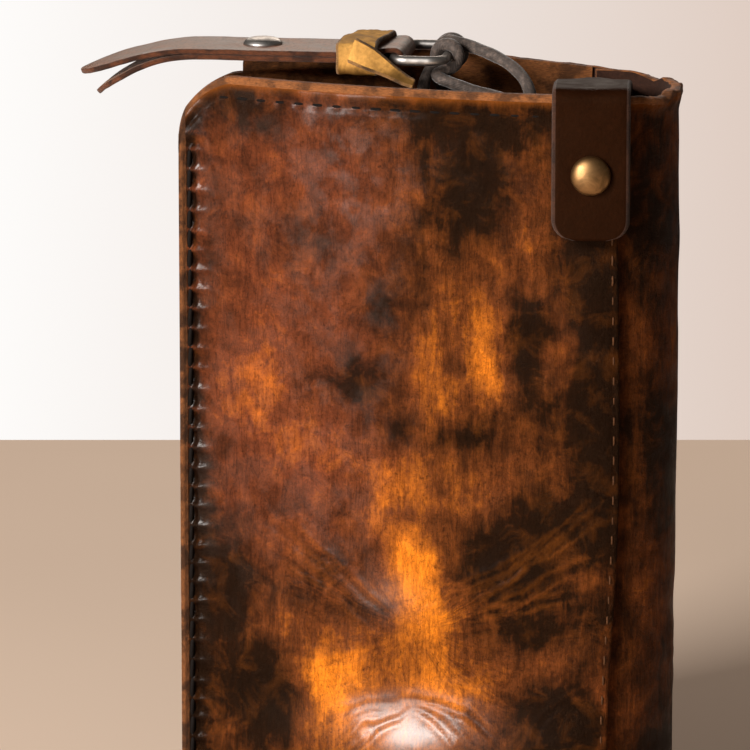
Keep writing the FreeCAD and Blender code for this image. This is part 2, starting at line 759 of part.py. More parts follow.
def main():
    os.makedirs("parts", exist_ok=True)

    wall = loft(panel_section)
    grooves = lacing_cutter()
    front = round_corner(wall.common(band(0, RIM))).cut(grooves)
    back = round_corner_back(mirrored(wall)).cut(grooves)
    side = loft(side_section).common(band(0, RIM)).common(end_outline())

    near = LEATHER + LAYER_GAP
    middle = near + INTERLINING
    core = loft(layer_section(near, middle))
    cloth = loft(layer_section(middle + LAYER_GAP, middle + LAYER_GAP + LINING))
    join = RIM - FACING_HEIGHT

    facing_front = round_corner(core.common(band(join, RIM)))
    facing_back = round_corner_back(mirrored(core)).common(band(join, RIM + 20))
    core_low = core.common(band(0, join - 0.2))
    cloth_low = cloth.common(band(0, join - 0.2))

    outward = to_tab(Part.Vertex(0, -60, SNAP_Z)).Point
    inward = to_tab(Part.Vertex(0, 0, SNAP_Z)).Point
    wall_r = outside_at(front, outward, inward).distanceToPoint(inward)
    inside_r = outside_at(side, inward, outward).distanceToPoint(inward)
    rear_z = RIVET_ZS[0]
    behind = to_tab(Part.Vertex(0, 60, rear_z)).Point
    axis = to_tab(Part.Vertex(0, 0, rear_z)).Point
    rear_r = outside_at(back, behind, axis).distanceToPoint(axis)
    leg_r = TOP.half - 2 * LEATHER - LAYER_GAP - 0.6

    snap_hole = to_tab(rod(V(0, -40, SNAP_Z), V(0, 0, SNAP_Z), 1.6))
    rivet_holes = Part.makeCompound([to_tab(rod(V(0, 0, z), V(0, 40, z), 1.3)) for z in RIVET_ZS])

    front = front.cut(snap_hole)
    side = side.cut(snap_hole).cut(rivet_holes)
    back = back.cut(rivet_holes)

    save(front, "front_panel")
    save(back, "back_panel")
    save(side, "side_panel")
    save(facing_front, "front_rim_facing")
    save(facing_back.cut(rivet_holes), "back_rim_facing")
    save(core_low, "front_interlining")
    save(mirrored(core_low).cut(rivet_holes), "back_interlining")
    save(cloth_low, "front_lining")
    save(mirrored(cloth_low).cut(rivet_holes), "back_lining")

    pan_inset = 2 * LEATHER + 2 * LAYER_GAP
    outer = loft(core_section(pan_inset))
    inner = loft(core_section(pan_inset + PAN_FLANGE))
    fill = loft(core_section(pan_inset + PAN_FLANGE + 0.1))
    save(base_pan(outer, inner), "base_pan")
    save(base_board(fill), "base_board")
    save(base_felt(fill), "base_felt")
    save(socket_plate(), "socket_plate")
    save(group(plate_screws()), "plate_nails")
    save(retaining_screw(), "retaining_screw")
    save(retaining_ring(), "retaining_ring")

    save(tab_strap(wall_r, leg_r), "tab_strap")
    save(tab_flap(wall_r), "tab_flap")
    for name, shape in zip(("snap_cap", "snap_socket", "snap_stud", "snap_post"), snap(wall_r, inside_r)):
        save(shape, name)
    save(group(tab_rivets(rear_r, leg_r)), "tab_rivets")

    save(strap_fold(), "ring_strap")
    save(strap_end(UPPER_REACH, UPPER_DROP, STRAP_MIDDLE + 0.02, 9.0), "strap_upper_end")
    save(strap_end(LOWER_REACH, LOWER_DROP, STRAP_LOW, 12.0), "strap_lower_end")
    save(strap_rivet_cap(), "strap_rivet_cap")
    save(strap_rivet_burr(), "strap_rivet_burr")
    save(ring(), "strap_ring")
    save(thong(), "tan_thong")
    save(lace_rear(), "lace_rear")
    save(lace_front(), "lace_front")

    save(lacing(), "seam_lacing")
    save(group(seam_stitches(front, 1)), "front_seam_stitches")
    save(group(seam_stitches(back, -1)), "back_seam_stitches")
    row_end = TOP.cx - 12
    save(group(row_stitches(front, 1, X_SEAM + 10, row_end, RIM - 5.2)), "front_rim_stitches")
    save(group(row_stitches(back, -1, X_SEAM + CORNER + 3, row_end, RIM - 1.0)), "back_rim_stitches")
    bottom = 7.0
    base_rows = row_stitches(front, 1, X_SEAM + 10, TOP.cx - 4, bottom)
    base_rows += row_stitches(back, -1, X_SEAM + 10, TOP.cx - 4, bottom)
    base_rows += end_stitches(side, bottom)
    save(group(base_rows), "base_stitches")


main()
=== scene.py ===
"""A tall leather ever-ready camera case: the finish of every piece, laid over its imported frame.

Every size is in metres, in the frame's own axes: +Z is up, the front faces -Y and the origin is
the mouth of the tripod socket in the base.
"""

import math

import bpy
import numpy as np
from bpy.props import FloatProperty, FloatVectorProperty, IntProperty, PointerProperty
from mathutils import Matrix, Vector


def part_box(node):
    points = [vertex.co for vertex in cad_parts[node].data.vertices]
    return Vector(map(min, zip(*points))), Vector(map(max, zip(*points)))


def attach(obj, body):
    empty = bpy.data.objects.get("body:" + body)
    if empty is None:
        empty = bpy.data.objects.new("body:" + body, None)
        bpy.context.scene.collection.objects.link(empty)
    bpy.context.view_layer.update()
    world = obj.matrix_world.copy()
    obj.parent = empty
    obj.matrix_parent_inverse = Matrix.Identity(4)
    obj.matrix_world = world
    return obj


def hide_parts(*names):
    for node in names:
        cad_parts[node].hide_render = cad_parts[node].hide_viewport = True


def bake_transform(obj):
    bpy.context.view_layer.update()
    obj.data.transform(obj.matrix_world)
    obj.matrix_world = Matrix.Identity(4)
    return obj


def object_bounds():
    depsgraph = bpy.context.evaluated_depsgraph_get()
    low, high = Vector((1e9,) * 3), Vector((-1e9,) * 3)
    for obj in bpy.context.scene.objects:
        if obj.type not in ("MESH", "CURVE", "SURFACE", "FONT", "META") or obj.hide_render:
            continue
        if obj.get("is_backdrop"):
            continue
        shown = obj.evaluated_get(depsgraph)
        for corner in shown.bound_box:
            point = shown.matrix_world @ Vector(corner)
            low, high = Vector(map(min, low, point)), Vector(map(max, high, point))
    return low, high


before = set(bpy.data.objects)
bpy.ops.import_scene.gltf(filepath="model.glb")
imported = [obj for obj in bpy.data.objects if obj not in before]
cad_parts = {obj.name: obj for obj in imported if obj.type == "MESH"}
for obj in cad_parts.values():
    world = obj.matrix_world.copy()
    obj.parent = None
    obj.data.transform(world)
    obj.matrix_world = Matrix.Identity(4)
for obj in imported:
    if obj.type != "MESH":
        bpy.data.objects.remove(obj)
CAD_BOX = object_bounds()

bl_info = {
    "name": "Leather Ever-Ready Case",
    "version": (1, 0, 0),
    "blender": (4, 5, 0),
    "location": "3D View > Sidebar > Case",
    "description": "Dresses a laced leather camera case with its walls, stitching, straps and fittings",
    "category": "Object",
}

MM = 0.001

# ---------------------------------------------------------------- sizes, partly from the frame

FRONT_LOW, FRONT_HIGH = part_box("front_panel")
FLAP_LOW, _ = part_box("tab_flap")

RIM = FRONT_HIGH[2]
X_SEAM = FRONT_LOW[0]
X_END = 41 * MM
HALF_DEPTH = 23 * MM
LEATHER = 2 * MM
SEAM_WIDTH = 6 * MM
CORNER = 15.5 * MM
COLLAR = 4.6 * MM
END_DROP = 1 * MM
LAP_ANGLE = math.radians(21)
UNDER_ANGLE = math.radians(-4)
LAYER_GAP = 0.05 * MM
# Height, change of half depth and change of the round end's place, as in the frame
SWELL = ((0.0, 0.6, -0.4), (18.0, 1.8, -0.2), (62.0, -0.3, 0.1), (145.0, 0.0, 0.3), (190.0, 0.0, 0.0))

TAB_ANGLE = math.radians(5)
TAB_WIDTH = 19 * MM
TAB = 2 * MM
TAB_SAG = 4 * MM
BEND_R = 3.5 * MM
LEG_LENGTH = 28 * MM
LEG_R = 17.35 * MM
FLAP_Y = (-FLAP_LOW[1] - TAB_WIDTH / 2 * math.sin(TAB_ANGLE)) / math.cos(TAB_ANGLE) - TAB / 2
TAB_RISE = 2.5 * MM
TAB_TOP = RIM + TAB_RISE
TAB_DROP = 34.5 * MM
RIVET_ZS = (RIM - 12 * MM, RIM - 23 * MM)
SNAP_Z = RIM - 18.5 * MM
CX = X_END - HALF_DEPTH

PITCH = 5 * MM
THREAD_LINE = 2.6 * MM
LACING_LOW = 8 * MM
HEM_LINE = 5.2 * MM
BASE_LINE = 7 * MM
LAP_ROW_LOW = 10 * MM
LAP_STITCH_MIDDLE = 1.6 * MM
STRAP_WIDTH = 22 * MM
PLY = 1.3 * MM
X_FLEX = X_SEAM + 6 * MM
X_RIVET = X_SEAM + 21 * MM
X_BAR = -30 * MM
WIRE = 2.4 * MM
X_FAR_BAR = X_BAR + 12.4 * MM
STRAP_LOW = RIM + 5 * MM
STRAP_TOP = STRAP_LOW + 2 * PLY
STRAP_MIDDLE = STRAP_LOW + PLY
X_THONG = -38 * MM
THONG_WIDTH = 10.5 * MM
THONG = 1.5 * MM
LACE = 3 * MM


# ---------------------------------------------------------------- settings a user would change

def dye(name, description, default):
    return FloatVectorProperty(name=name, description=description, default=default, subtype="COLOR",
                               min=0, max=1)


class CaseColours(bpy.types.PropertyGroup):
    """Dyes and metals of the case."""

    deep: dye("Deep Dye", "Darkest dye of the marbled walls", (0.009, 0.0026, 0.0007))
    brown: dye("Brown Dye", "Ordinary colour of the marbled walls", (0.125, 0.033, 0.0075))
    amber: dye("Amber Dye", "Brightest colour where the dye is rubbed thin", (0.78, 0.215, 0.013))
    tab: dye("Tab", "Colour of the closing tab", (0.013, 0.0034, 0.0009))
    raw: dye("Cut Edge", "Colour of undyed cut leather", (0.33, 0.115, 0.032))
    thong: dye("Thong", "Colour of the tan thong", (0.52, 0.27, 0.07))
    brass: dye("Brass", "Colour of the snap fastener", (0.34, 0.19, 0.078))


class CaseSizes(bpy.types.PropertyGroup):
    """Fineness and relief of the leather."""

    columns: IntProperty(name="Wall Columns", description="Divisions along each main wall",
                         default=168, min=60, max=240)
    rows: IntProperty(name="Wall Rows", description="Divisions up each main wall",
                      default=226, min=60, max=300)
    crease: FloatProperty(name="Crease Depth", description="Depth of the deepest creases in the front wall",
                          subtype="DISTANCE", unit="LENGTH", default=0.30 * MM, min=0, max=2 * MM)
    pucker: FloatProperty(name="Pucker", description="How far the seam's stitches gather the leather",
                          subtype="DISTANCE", unit="LENGTH", default=0.42 * MM, min=0, max=1 * MM)
    seed: IntProperty(name="Seed", description="Seed of everything irregular", default=7, min=0, max=999)


# ---------------------------------------------------------------- smooth irregularity

HASH_PRIMES = (73856093, 19349663, 83492791)
TABLE_SIZE = 4096


def lattice_noise(points, scale, seed):
    """Smooth value noise from -1 to 1 at an array of 3D points."""
    table = np.random.default_rng(seed).random(TABLE_SIZE)
    p = points / scale + 1000.0
    cell = np.floor(p).astype(np.int64)
    part = p - cell
    part = part * part * (3 - 2 * part)
    total = np.zeros(points.shape[:-1])
    for corner in np.ndindex(2, 2, 2):
        key = 0
        share = 1.0
        for axis, far in enumerate(corner):
            key = key ^ (cell[..., axis] + far) * HASH_PRIMES[axis]
            share = share * (part[..., axis] if far else 1 - part[..., axis])
        total += share * table[key & (TABLE_SIZE - 1)]
    return total * 2 - 1


def cloud(points, scale, seed, layers=4, keep=0.5):
    """Layers of noise, each half the scale of the last and a part of its strength."""
    weights = [keep ** layer for layer in range(layers)]
    return sum(weight * lattice_noise(points, scale / 2 ** layer, seed + layer)
               for layer, weight in enumerate(weights)) / sum(weights)


def hill(value, middle, width):
    return np.exp(-((value - middle) / width) ** 2)


def step(value, low, high):
    """Smooth step from 0 at low to 1 at high."""
    t = np.clip((value - low) / (high - low), 0, 1)
    return t * t * (3 - 2 * t)


# ---------------------------------------------------------------- meshes

def unit(vectors):
    """The vectors at a length of 1."""
    return vectors / np.linalg.norm(vectors, axis=-1, keepdims=True)


def lengths_along(places):
    """How far each place is from the first, along the line through them."""
    return np.concatenate([[0], np.cumsum(np.linalg.norm(np.diff(places, axis=0), axis=1))])


def xyz(x, y, z):
    """Places or directions from their three parts, each an array or one number."""
    return np.stack(np.broadcast_arrays(x, y, z), -1).astype(float)


def level_out(turn):
    """Level directions at angles from the front, towards the round end."""
    return xyz(np.sin(turn), -np.cos(turn), 0)


def level_along(turn):
    """Level directions at right angles to those."""
    return xyz(np.cos(turn), np.sin(turn), 0)


def add_object(name, data):
    made = bpy.data.objects.new(name, data)
    bpy.context.scene.collection.objects.link(made)
    return made


def taken_as_mesh(holder):
    """The mesh that the holder comes to with its modifiers. The holder itself goes."""
    bpy.context.view_layer.update()
    mesh = bpy.data.meshes.new_from_object(holder.evaluated_get(bpy.context.evaluated_depsgraph_get()))
    bpy.data.objects.remove(holder)
    return mesh


def keep_piece(name, points, faces, materials, indices=None, uv=None, values=None):
    """A smooth mesh object at the origin, with its materials, UV map and point attributes."""
    mesh = bpy.data.meshes.new(name)
    mesh.from_pydata([tuple(p) for p in points], [], faces)
    for material in materials:
        mesh.materials.append(material)
    mesh.polygons.foreach_set("use_smooth", np.ones(len(mesh.polygons), bool))
    if indices is not None:
        mesh.polygons.foreach_set("material_index", np.asarray(indices, np.int32))
    if uv is not None:
        layer = mesh.uv_layers.new(name="UVMap")
        corners = np.zeros(len(mesh.loops), np.int32)
        mesh.loops.foreach_get("vertex_index", corners)
        layer.data.foreach_set("uv", np.asarray(uv, np.float32)[corners].ravel())
    for label, column in (values or {}).items():
        attribute = mesh.attributes.new(label, "FLOAT", "POINT")
        attribute.data.foreach_set("value", np.asarray(column, np.float32).ravel())
    mesh.update()
    return add_object(name, mesh)


def grid_faces(rows, columns, first=0, flip=False):
    quads = []
    for r in range(rows - 1):
        low = first + r * columns
        quads += [(i, i + 1, i + 1 + columns, i + columns) for i in range(low, low + columns - 1)]
    return [quad[::-1] for quad in quads] if flip else quads


def band_faces(low, high):
    """Quads between two closed rings of the same number of points."""
    count = len(low)
    return [(low[k], low[(k + 1) % count], high[(k + 1) % count], high[k]) for k in range(count)]


# Material slots of a wall after its skin
RAW, INSIDE, SEAM_EDGE = 1, 2, 3


def shell(name, outer, middle, inner, materials, values, flip=False):
    """A sheet of leather from its outside and inside grids. middle is the crown of its cut edges."""
    rows, columns = outer.shape[:2]
    count = rows * columns
    edge = [(0, c) for c in range(columns)] + [(r, columns - 1) for r in range(1, rows)]
    edge += [(rows - 1, c) for c in range(columns - 2, -1, -1)] + [(r, 0) for r in range(rows - 2, 0, -1)]
    faces = grid_faces(rows, columns, 0, flip) + grid_faces(rows, columns, count, not flip)
    indices = [0] * (len(faces) // 2) + [INSIDE] * (len(faces) // 2) + [RAW] * (2 * len(edge))
    crown = 2 * count
    for i, (r, c) in enumerate(edge):
        n = (i + 1) % len(edge)
        here, there = r * columns + c, edge[n][0] * columns + edge[n][1]
        upper = (there, here, crown + i, crown + n)
        lower = (crown + n, crown + i, count + here, count + there)
        faces += [quad[::-1] if flip else quad for quad in (upper, lower)]
    row, column = np.array(edge).T
    points = np.concatenate([outer.reshape(-1, 3), inner.reshape(-1, 3), middle[row, column]])
    spread = {label: np.concatenate([grid.ravel(), grid.ravel(), grid[row, column]])
              for label, grid in values.items()}
    return keep_piece(name, points, faces, materials, indices, None, spread)


def section_of(width, thickness, across, round_steps=3):
    """Closed outline of a flat strip with rounded edges: places across, places through, edge or not."""
    radius = thickness * 0.46
    inner = width / 2 - radius
    flat = np.linspace(-inner, inner, across)
    turns = np.radians(np.linspace(90, -90, round_steps * 2 + 1)[1:-1])
    places = []
    for side in (1, -1):
        places += [(side * a, side * thickness / 2, False) for a in flat]
        places += [(side * (inner + radius * math.cos(t)), side * thickness / 2 * math.sin(t), True)
                   for t in turns]
    return places


def strip(name, centres, across, widths, thickness, materials, relief, steps, closed=False):
    """A flat strip of leather along a path. relief moves a place outwards: (length, side step, top)."""
    count = len(centres)
    if closed:
        along = unit(np.roll(centres, -1, 0) - np.roll(centres, 1, 0))
    else:
        along = unit(np.gradient(centres, axis=0))
    across = np.broadcast_to(np.asarray(across, float), centres.shape)
    out = unit(np.cross(along, across))
    lengths = lengths_along(centres)
    points, uv, rings = [], [], []
    for i in range(count):
        outline = section_of(widths[i], thickness, steps)
        rings.append(range(len(points), len(points) + len(outline)))
        for a, b, _ in outline:
            points.append(centres[i] + across[i] * a + out[i] * (b + relief(lengths[i], a, b > 0)))
            uv.append((lengths[i] / MM, a / MM))
    edge = [flag for _, _, flag in outline]
    slots = [1 if edge[k] or edge[(k + 1) % len(edge)] else (0 if k < steps else 2) for k in range(len(edge))]
    faces = []
    for low, high in zip(rings, rings[1:] + rings[:1] if closed else rings[1:]):
        faces += band_faces(low, high)
    indices = slots * (len(faces) // len(slots))
    if not closed:
        for ring, turn in ((rings[0], -1), (rings[-1], 1)):
            middle = len(points)
            points.append(np.mean([points[k] for k in ring], axis=0))
            uv.append(uv[ring[0]])
            faces += [(k, ring[(i + 1) % len(ring)], middle)[::turn] for i, k in enumerate(ring)]
            indices += [1] * len(ring)
    return keep_piece(name, points, faces, materials, indices, uv)


def smooth_route(points, steps):
    """Places along the NURBS curve that has these points as its control points."""
    curve = bpy.data.curves.new("Route", "CURVE")
    curve.dimensions = "3D"
    curve.resolution_u = steps
    spline = curve.splines.new("NURBS")
    spline.points.add(len(points) - 1)
    for knot, place in zip(spline.points, points):
        knot.co = (*place, 1)
    spline.order_u = 3
    spline.use_endpoint_u = True
    mesh = taken_as_mesh(add_object("Route", curve))
    places = np.array([v.co[:] for v in mesh.vertices])
    bpy.data.meshes.remove(mesh)
    return places


def tube(name, places, radius, material, seed, around=18):
    """A cord along the places, a little uneven, with rounded ends."""
    along = unit(np.gradient(places, axis=0))
    side = unit(np.cross(along[0], (0.3, 0.2, 1.0)))
    lengths = lengths_along(places)
    uneven = cloud(places, 6 * MM, seed, 2)
    points, uv = [], []
    for i, place in enumerate(places):
        side = unit(side - along[i] * np.dot(side, along[i]))
        other = np.cross(along[i], side)
        end = min(lengths[i], lengths[-1] - lengths[i]) / radius
        taper = math.sqrt(max(0.05, 1 - (1 - min(end, 1)) ** 2))
        for k in range(around):
            turn = 2 * math.pi * k / around
            strand = 1 + 0.035 * math.cos(2 * turn + 900 * lengths[i])
            reach = radius * taper * strand * (1 + 0.06 * uneven[i])
            points.append(place + (side * math.cos(turn) + other * math.sin(turn)) * reach)
            uv.append((lengths[i] / MM, k / around))
    rings = [tuple(range(i, i + around)) for i in range(0, len(points), around)]
    faces = [face for low, high in zip(rings, rings[1:]) for face in band_faces(low, high)]
    return keep_piece(name, points, faces + [rings[0][::-1], rings[-1]], (material,), None, uv)


def turned(name, profile, at, axis, material, segments=96):
    """A turned piece from (radius, height) points. The profile runs from the axis back to the axis."""
    axis = Vector(axis).normalized()
    side = axis.orthogonal().normalized()
    other = axis.cross(side)
    turns = [2 * math.pi * k / segments for k in range(segments)]
    points, faces, rows = [], [], []
    for radius, height in profile:
        middle = Vector(at) + axis * height
        if radius:
            ring = [middle + (side * math.cos(turn) + other * math.sin(turn)) * radius for turn in turns]
        else:
            ring = [middle]
        rows.append(range(len(points), len(points) + len(ring)))
        points += ring
    for low, high in zip(rows, rows[1:]):
        if len(low) == 1:
            faces += [(low[0], high[(k + 1) % segments], high[k]) for k in range(segments)]
        elif len(high) == 1:
            faces += [(low[k], low[(k + 1) % segments], high[0]) for k in range(segments)]
        else:
            faces += band_faces(low, high)
    return keep_piece(name, points, faces, (material,))


def rounded(points, size=0.25 * MM, steps=3):
    """A profile with its corners eased, leaving its first and last points."""
    result = [points[0]]
    for before, corner, after in zip(points, points[1:], points[2:]):
        b, c, a = Vector(before), Vector(corner), Vector(after)
        reach = min(size, (b - c).length / 2.1, (a - c).length / 2.1)
        first = c + (b - c).normalized() * reach
        last = c + (a - c).normalized() * reach
        for i in range(steps + 1):
            t = i / steps
            place = first * (1 - t) ** 2 + c * 2 * t * (1 - t) + last * t * t
            result.append((place.x, place.y))
    result.append(points[-1])
    return result


# ---------------------------------------------------------------- the teardrop in plan

def spline_through(heights, values, at):
    """Natural cubic spline through the values."""
    h = np.diff(heights)
    n = len(heights)
    a = np.zeros((n, n))
    b = np.zeros(n)
    a[0, 0] = a[-1, -1] = 1
    for i in range(1, n - 1):
        a[i, i - 1], a[i, i], a[i, i + 1] = h[i - 1], 2 * (h[i - 1] + h[i]), h[i]
        b[i] = 6 * ((values[i + 1] - values[i]) / h[i] - (values[i] - values[i - 1]) / h[i - 1])
    bend = np.linalg.solve(a, b)
    at = np.asarray(at, float)
    i = np.clip(np.searchsorted(heights, at) - 1, 0, n - 2)
    t = at - heights[i]
    slope = (values[i + 1] - values[i]) / h[i] - h[i] * (2 * bend[i] + bend[i + 1]) / 6
    return values[i] + t * (slope + t * (bend[i] / 2 + t * (bend[i + 1] - bend[i]) / (6 * h[i])))


def plan_at(z):
    """Half depth and the round end's centre at a height."""
    rows = np.array(SWELL)
    mm = np.clip(np.asarray(z) / MM, 0, 190)
    half = HALF_DEPTH + spline_through(rows[:, 0], rows[:, 1], mm) * MM
    far = X_END + spline_through(rows[:, 0], rows[:, 2], mm) * MM
    return half, far - half


def wall_arc(half, cx):
    """Radius of the long wall in plan, and the angle that it turns through."""
    run = cx - (X_SEAM + SEAM_WIDTH)
    rise = half - LEATHER
    radius = (run * run + rise * rise) / (2 * rise)
    return radius, np.arcsin(run / radius)


# The three stretches of a wall, from the seam
IN_SEAM, ON_WALL, ON_END = 0, 1, 2


def wall_place(kind, t, z):
    """Places on the front wall, from the stretch they are in, how far along it they are and their height."""
    half, cx = plan_at(z)
    big, sweep = wall_arc(half, cx)
    turn = np.where(kind == ON_WALL, (t - 1) * sweep, 0.0)
    x = np.where(kind == IN_SEAM, X_SEAM + t * SEAM_WIDTH, cx + big * np.sin(turn))
    y = np.where(kind == IN_SEAM, -LEATHER, big - half - big * np.cos(turn))
    x = np.where(kind == ON_END, cx + half * np.sin(t), x)
    y = np.where(kind == ON_END, -half * np.cos(t), y)
    return xyz(x, y, z)


def wall_columns(total, near=40):
    """Length, stretch and place along it of each column. The first are close together by the corner."""
    half, cx = plan_at(np.array(RIM / 2))
    big, sweep = wall_arc(half, cx)
    long_wall = big * sweep
    whole = SEAM_WIDTH + long_wall + half * LAP_ANGLE
    s = CORNER * (1 - np.cos(np.linspace(0, math.pi / 2, near)))
    s = np.concatenate([s, np.linspace(CORNER, whole, total - near + 1)[1:]])
    past_seam = np.where(s < SEAM_WIDTH + long_wall, ON_WALL, ON_END)
    kind = np.where(s < SEAM_WIDTH, IN_SEAM, past_seam)
    t = np.where(kind == IN_SEAM, s / SEAM_WIDTH, (s - SEAM_WIDTH) / long_wall)
    t = np.where(kind == ON_END, (s - SEAM_WIDTH - long_wall) / half, t)
    return s, kind, t


def soften(places, s):
    """Rounds the bend where the flat seam meets the bulging wall."""
    near = (s > 2 * MM) & (s < 13 * MM)
    for _ in range(60):
        moved = places.copy()
        moved[:, 1:-1] = (places[:, :-2] + places[:, 2:]) / 2
        places = np.where(near[None, :, None], places * 0.5 + moved * 0.5, places)
    return places


# ---------------------------------------------------------------- relief of the walls

# Fans of creases that run together low on the front wall. Each fan goes from its first crease to its last:
# faint ends, bends and deep ends as (x, z) in millimetres, then how many creases and their share of the depth
FANS = (
    ((-66, 82), (-60, 60), (-50, 66), (-48, 54), (-29, 56), (-33, 45), 7, 0.9),
    ((25, 88), (23, 56), (8, 68), (2, 50), (-17, 56), (-20, 40), 10, 1.0),
    ((14, 40), (-4, 9), (-4, 40), (-12, 24), (-19, 38), (-23, 27), 9, 0.7),
    ((-64, 42), (-44, 9), (-48, 42), (-37, 20), (-32, 42), (-28, 26), 8, 0.75),
    ((-34, 104), (8, 132), (-30, 84), (-3, 108), (-26, 64), (-12, 84), 9, 0.45),
    ((-26, 160), (6, 158), (-22, 140), (3, 140), (-18, 122), (0, 122), 8, 0.35),
    ((26, 50), (25, 26), (14, 44), (12, 22), (5, 34), (3, 14), 6, 0.5),
    ((-40, 12), (10, 13), (-20, 16), (14, 18), (2, 17), (24, 14), 4, 0.5),
    ((25, 150), (25, 98), (23, 140), (23, 92), (22, 128), (22, 84), 5, 0.4),
    ((-72, 108), (-66, 88), (-60, 106), (-56, 92), (-46, 112), (-44, 96), 5, 0.3),
)


def creases():
    """Bends of every crease, a little uneven, as start, bend, end and share of the full depth."""
    rng = np.random.default_rng(12)
    for *corners, count, share in FANS:
        a, b, c, d, e, f = (np.array(p, float) for p in corners)
        for t in np.linspace(0, 1, count):
            t = t + rng.uniform(-0.7, 0.7) / count
            wander = rng.normal(0, 2.2, (3, 2))
            yield (a + (b - a) * t + wander[0], c + (d - c) * t + wander[1], e + (f - e) * t + wander[2],
                   share * rng.uniform(0.2, 1.0))


def crease_relief(x, z, points):
    """Depth of the creases and how much lies beside one, from places in metres."""
    warp_x = x / MM + 2.0 * cloud(points, 9 * MM, 31, 3)
    warp_z = z / MM + 2.0 * cloud(points, 9 * MM, 47, 3)
    dip = np.zeros_like(x)
    ridge = np.zeros_like(x)
    for a, b, c, share in creases():
        low = np.minimum(np.minimum(a, b), c) - 5
        high = np.maximum(np.maximum(a, b), c) + 5
        near = (warp_x > low[0]) & (warp_x < high[0]) & (warp_z > low[1]) & (warp_z < high[1])
        wx, wz = warp_x[near], warp_z[near]
        nearest = np.full(wx.shape, np.inf)
        strength = np.zeros_like(wx)
        for t in np.linspace(0, 1, 30):
            px, pz = a * (1 - t) ** 2 + b * 2 * t * (1 - t) + c * t * t
            gap = (wx - px) ** 2 + (wz - pz) ** 2
            closer = gap < nearest
            nearest = np.where(closer, gap, nearest)
            strength = np.where(closer, math.sin(math.pi * min(0.95, 0.05 + 0.85 * t)), strength)
        gap = np.sqrt(nearest)
        width = 0.50 + 0.30 * share
        dip[near] = np.maximum(dip[near], share * strength * np.exp(-(gap / width) ** 2))
        ridge[near] = np.maximum(ridge[near], share * strength * np.exp(-((gap - 1.9 * width) / width) ** 2))
    return dip, ridge


GATHER_X, GATHER_Z = -24 * MM, 47 * MM


def flow_values(points):
    """Polar coordinates about the place where the creases gather, and how strongly it draws the leather."""
    x = (points[..., 0] - GATHER_X) / MM
    z = (points[..., 2] - GATHER_Z) / MM
    reach = np.hypot(x, z)
    turn = np.arctan2(x, z)
    side = 0.9 * hill(turn, 1.15, 0.42) + 0.8 * hill(turn, -1.12, 0.40) + 0.55 * hill(turn, 2.3, 0.5)
    side = side + 0.30 * hill(turn, -2.1, 0.4)
    pull = step(reach, 3, 10) * (1 - step(reach, 26, 50)) * side
    bent = turn * 18 + 2.2 * cloud(points, 11 * MM, 91, 3) + 0.10 * reach * np.sign(x)
    return {"flow_turn": bent, "flow_reach": 9 * np.log(reach + 3), "pull": pull}


def seam_teeth(z, seed):
    """Where the leather stands up between two of the seam's stitches, from 0 to 1."""
    sway = 0.10 * lattice_noise(xyz(0, z, 0), 9 * MM, seed)
    return (0.5 + 0.5 * np.cos(2 * math.pi * ((z - LACING_LOW) / PITCH + sway))) ** 4


def seam_relief(s, z, low, high, seed, depth):
    """Channel of the laced seam and the teeth that its stitches gather beside it."""
    inside = step(z, low - 3 * MM, low - 1 * MM) * (1 - step(z, high + 1 * MM, high + 3 * MM))
    grid = xyz(0, z, 0)
    tooth = seam_teeth(z, seed)
    groove = -1.0 * MM * np.exp(-((s - THREAD_LINE) / (1.3 * MM)) ** 4) * (1 - 0.55 * tooth)
    size = 0.75 + 0.45 * lattice_noise(grid, 13 * MM, seed + 3)
    reach = (2.2 + 1.6 * lattice_noise(grid, 7 * MM, seed + 6)) * MM
    lip = THREAD_LINE + 1 * MM
    point = step(s, THREAD_LINE, lip) * np.exp(-np.clip(s - lip, 0, None) / reach)
    swell = depth * (point * tooth * size * 2.2 - 0.8 * hill(s, 4.4 * MM, 1.5 * MM) * (1 - tooth))
    return (groove + swell) * inside


def rim_relief(s, below):
    """Hem line under the rim, where the stitches draw the leather in, and the swell above it."""
    drawn = 0.35 + 0.65 * (0.5 + 0.5 * np.cos(2 * math.pi * (s + 1.2 * MM) / PITCH))
    return 0.14 * MM * hill(below, 2.6 * MM, 1.4 * MM) - 0.30 * MM * hill(below, HEM_LINE, 0.9 * MM) * drawn


# ---------------------------------------------------------------- dye of the walls

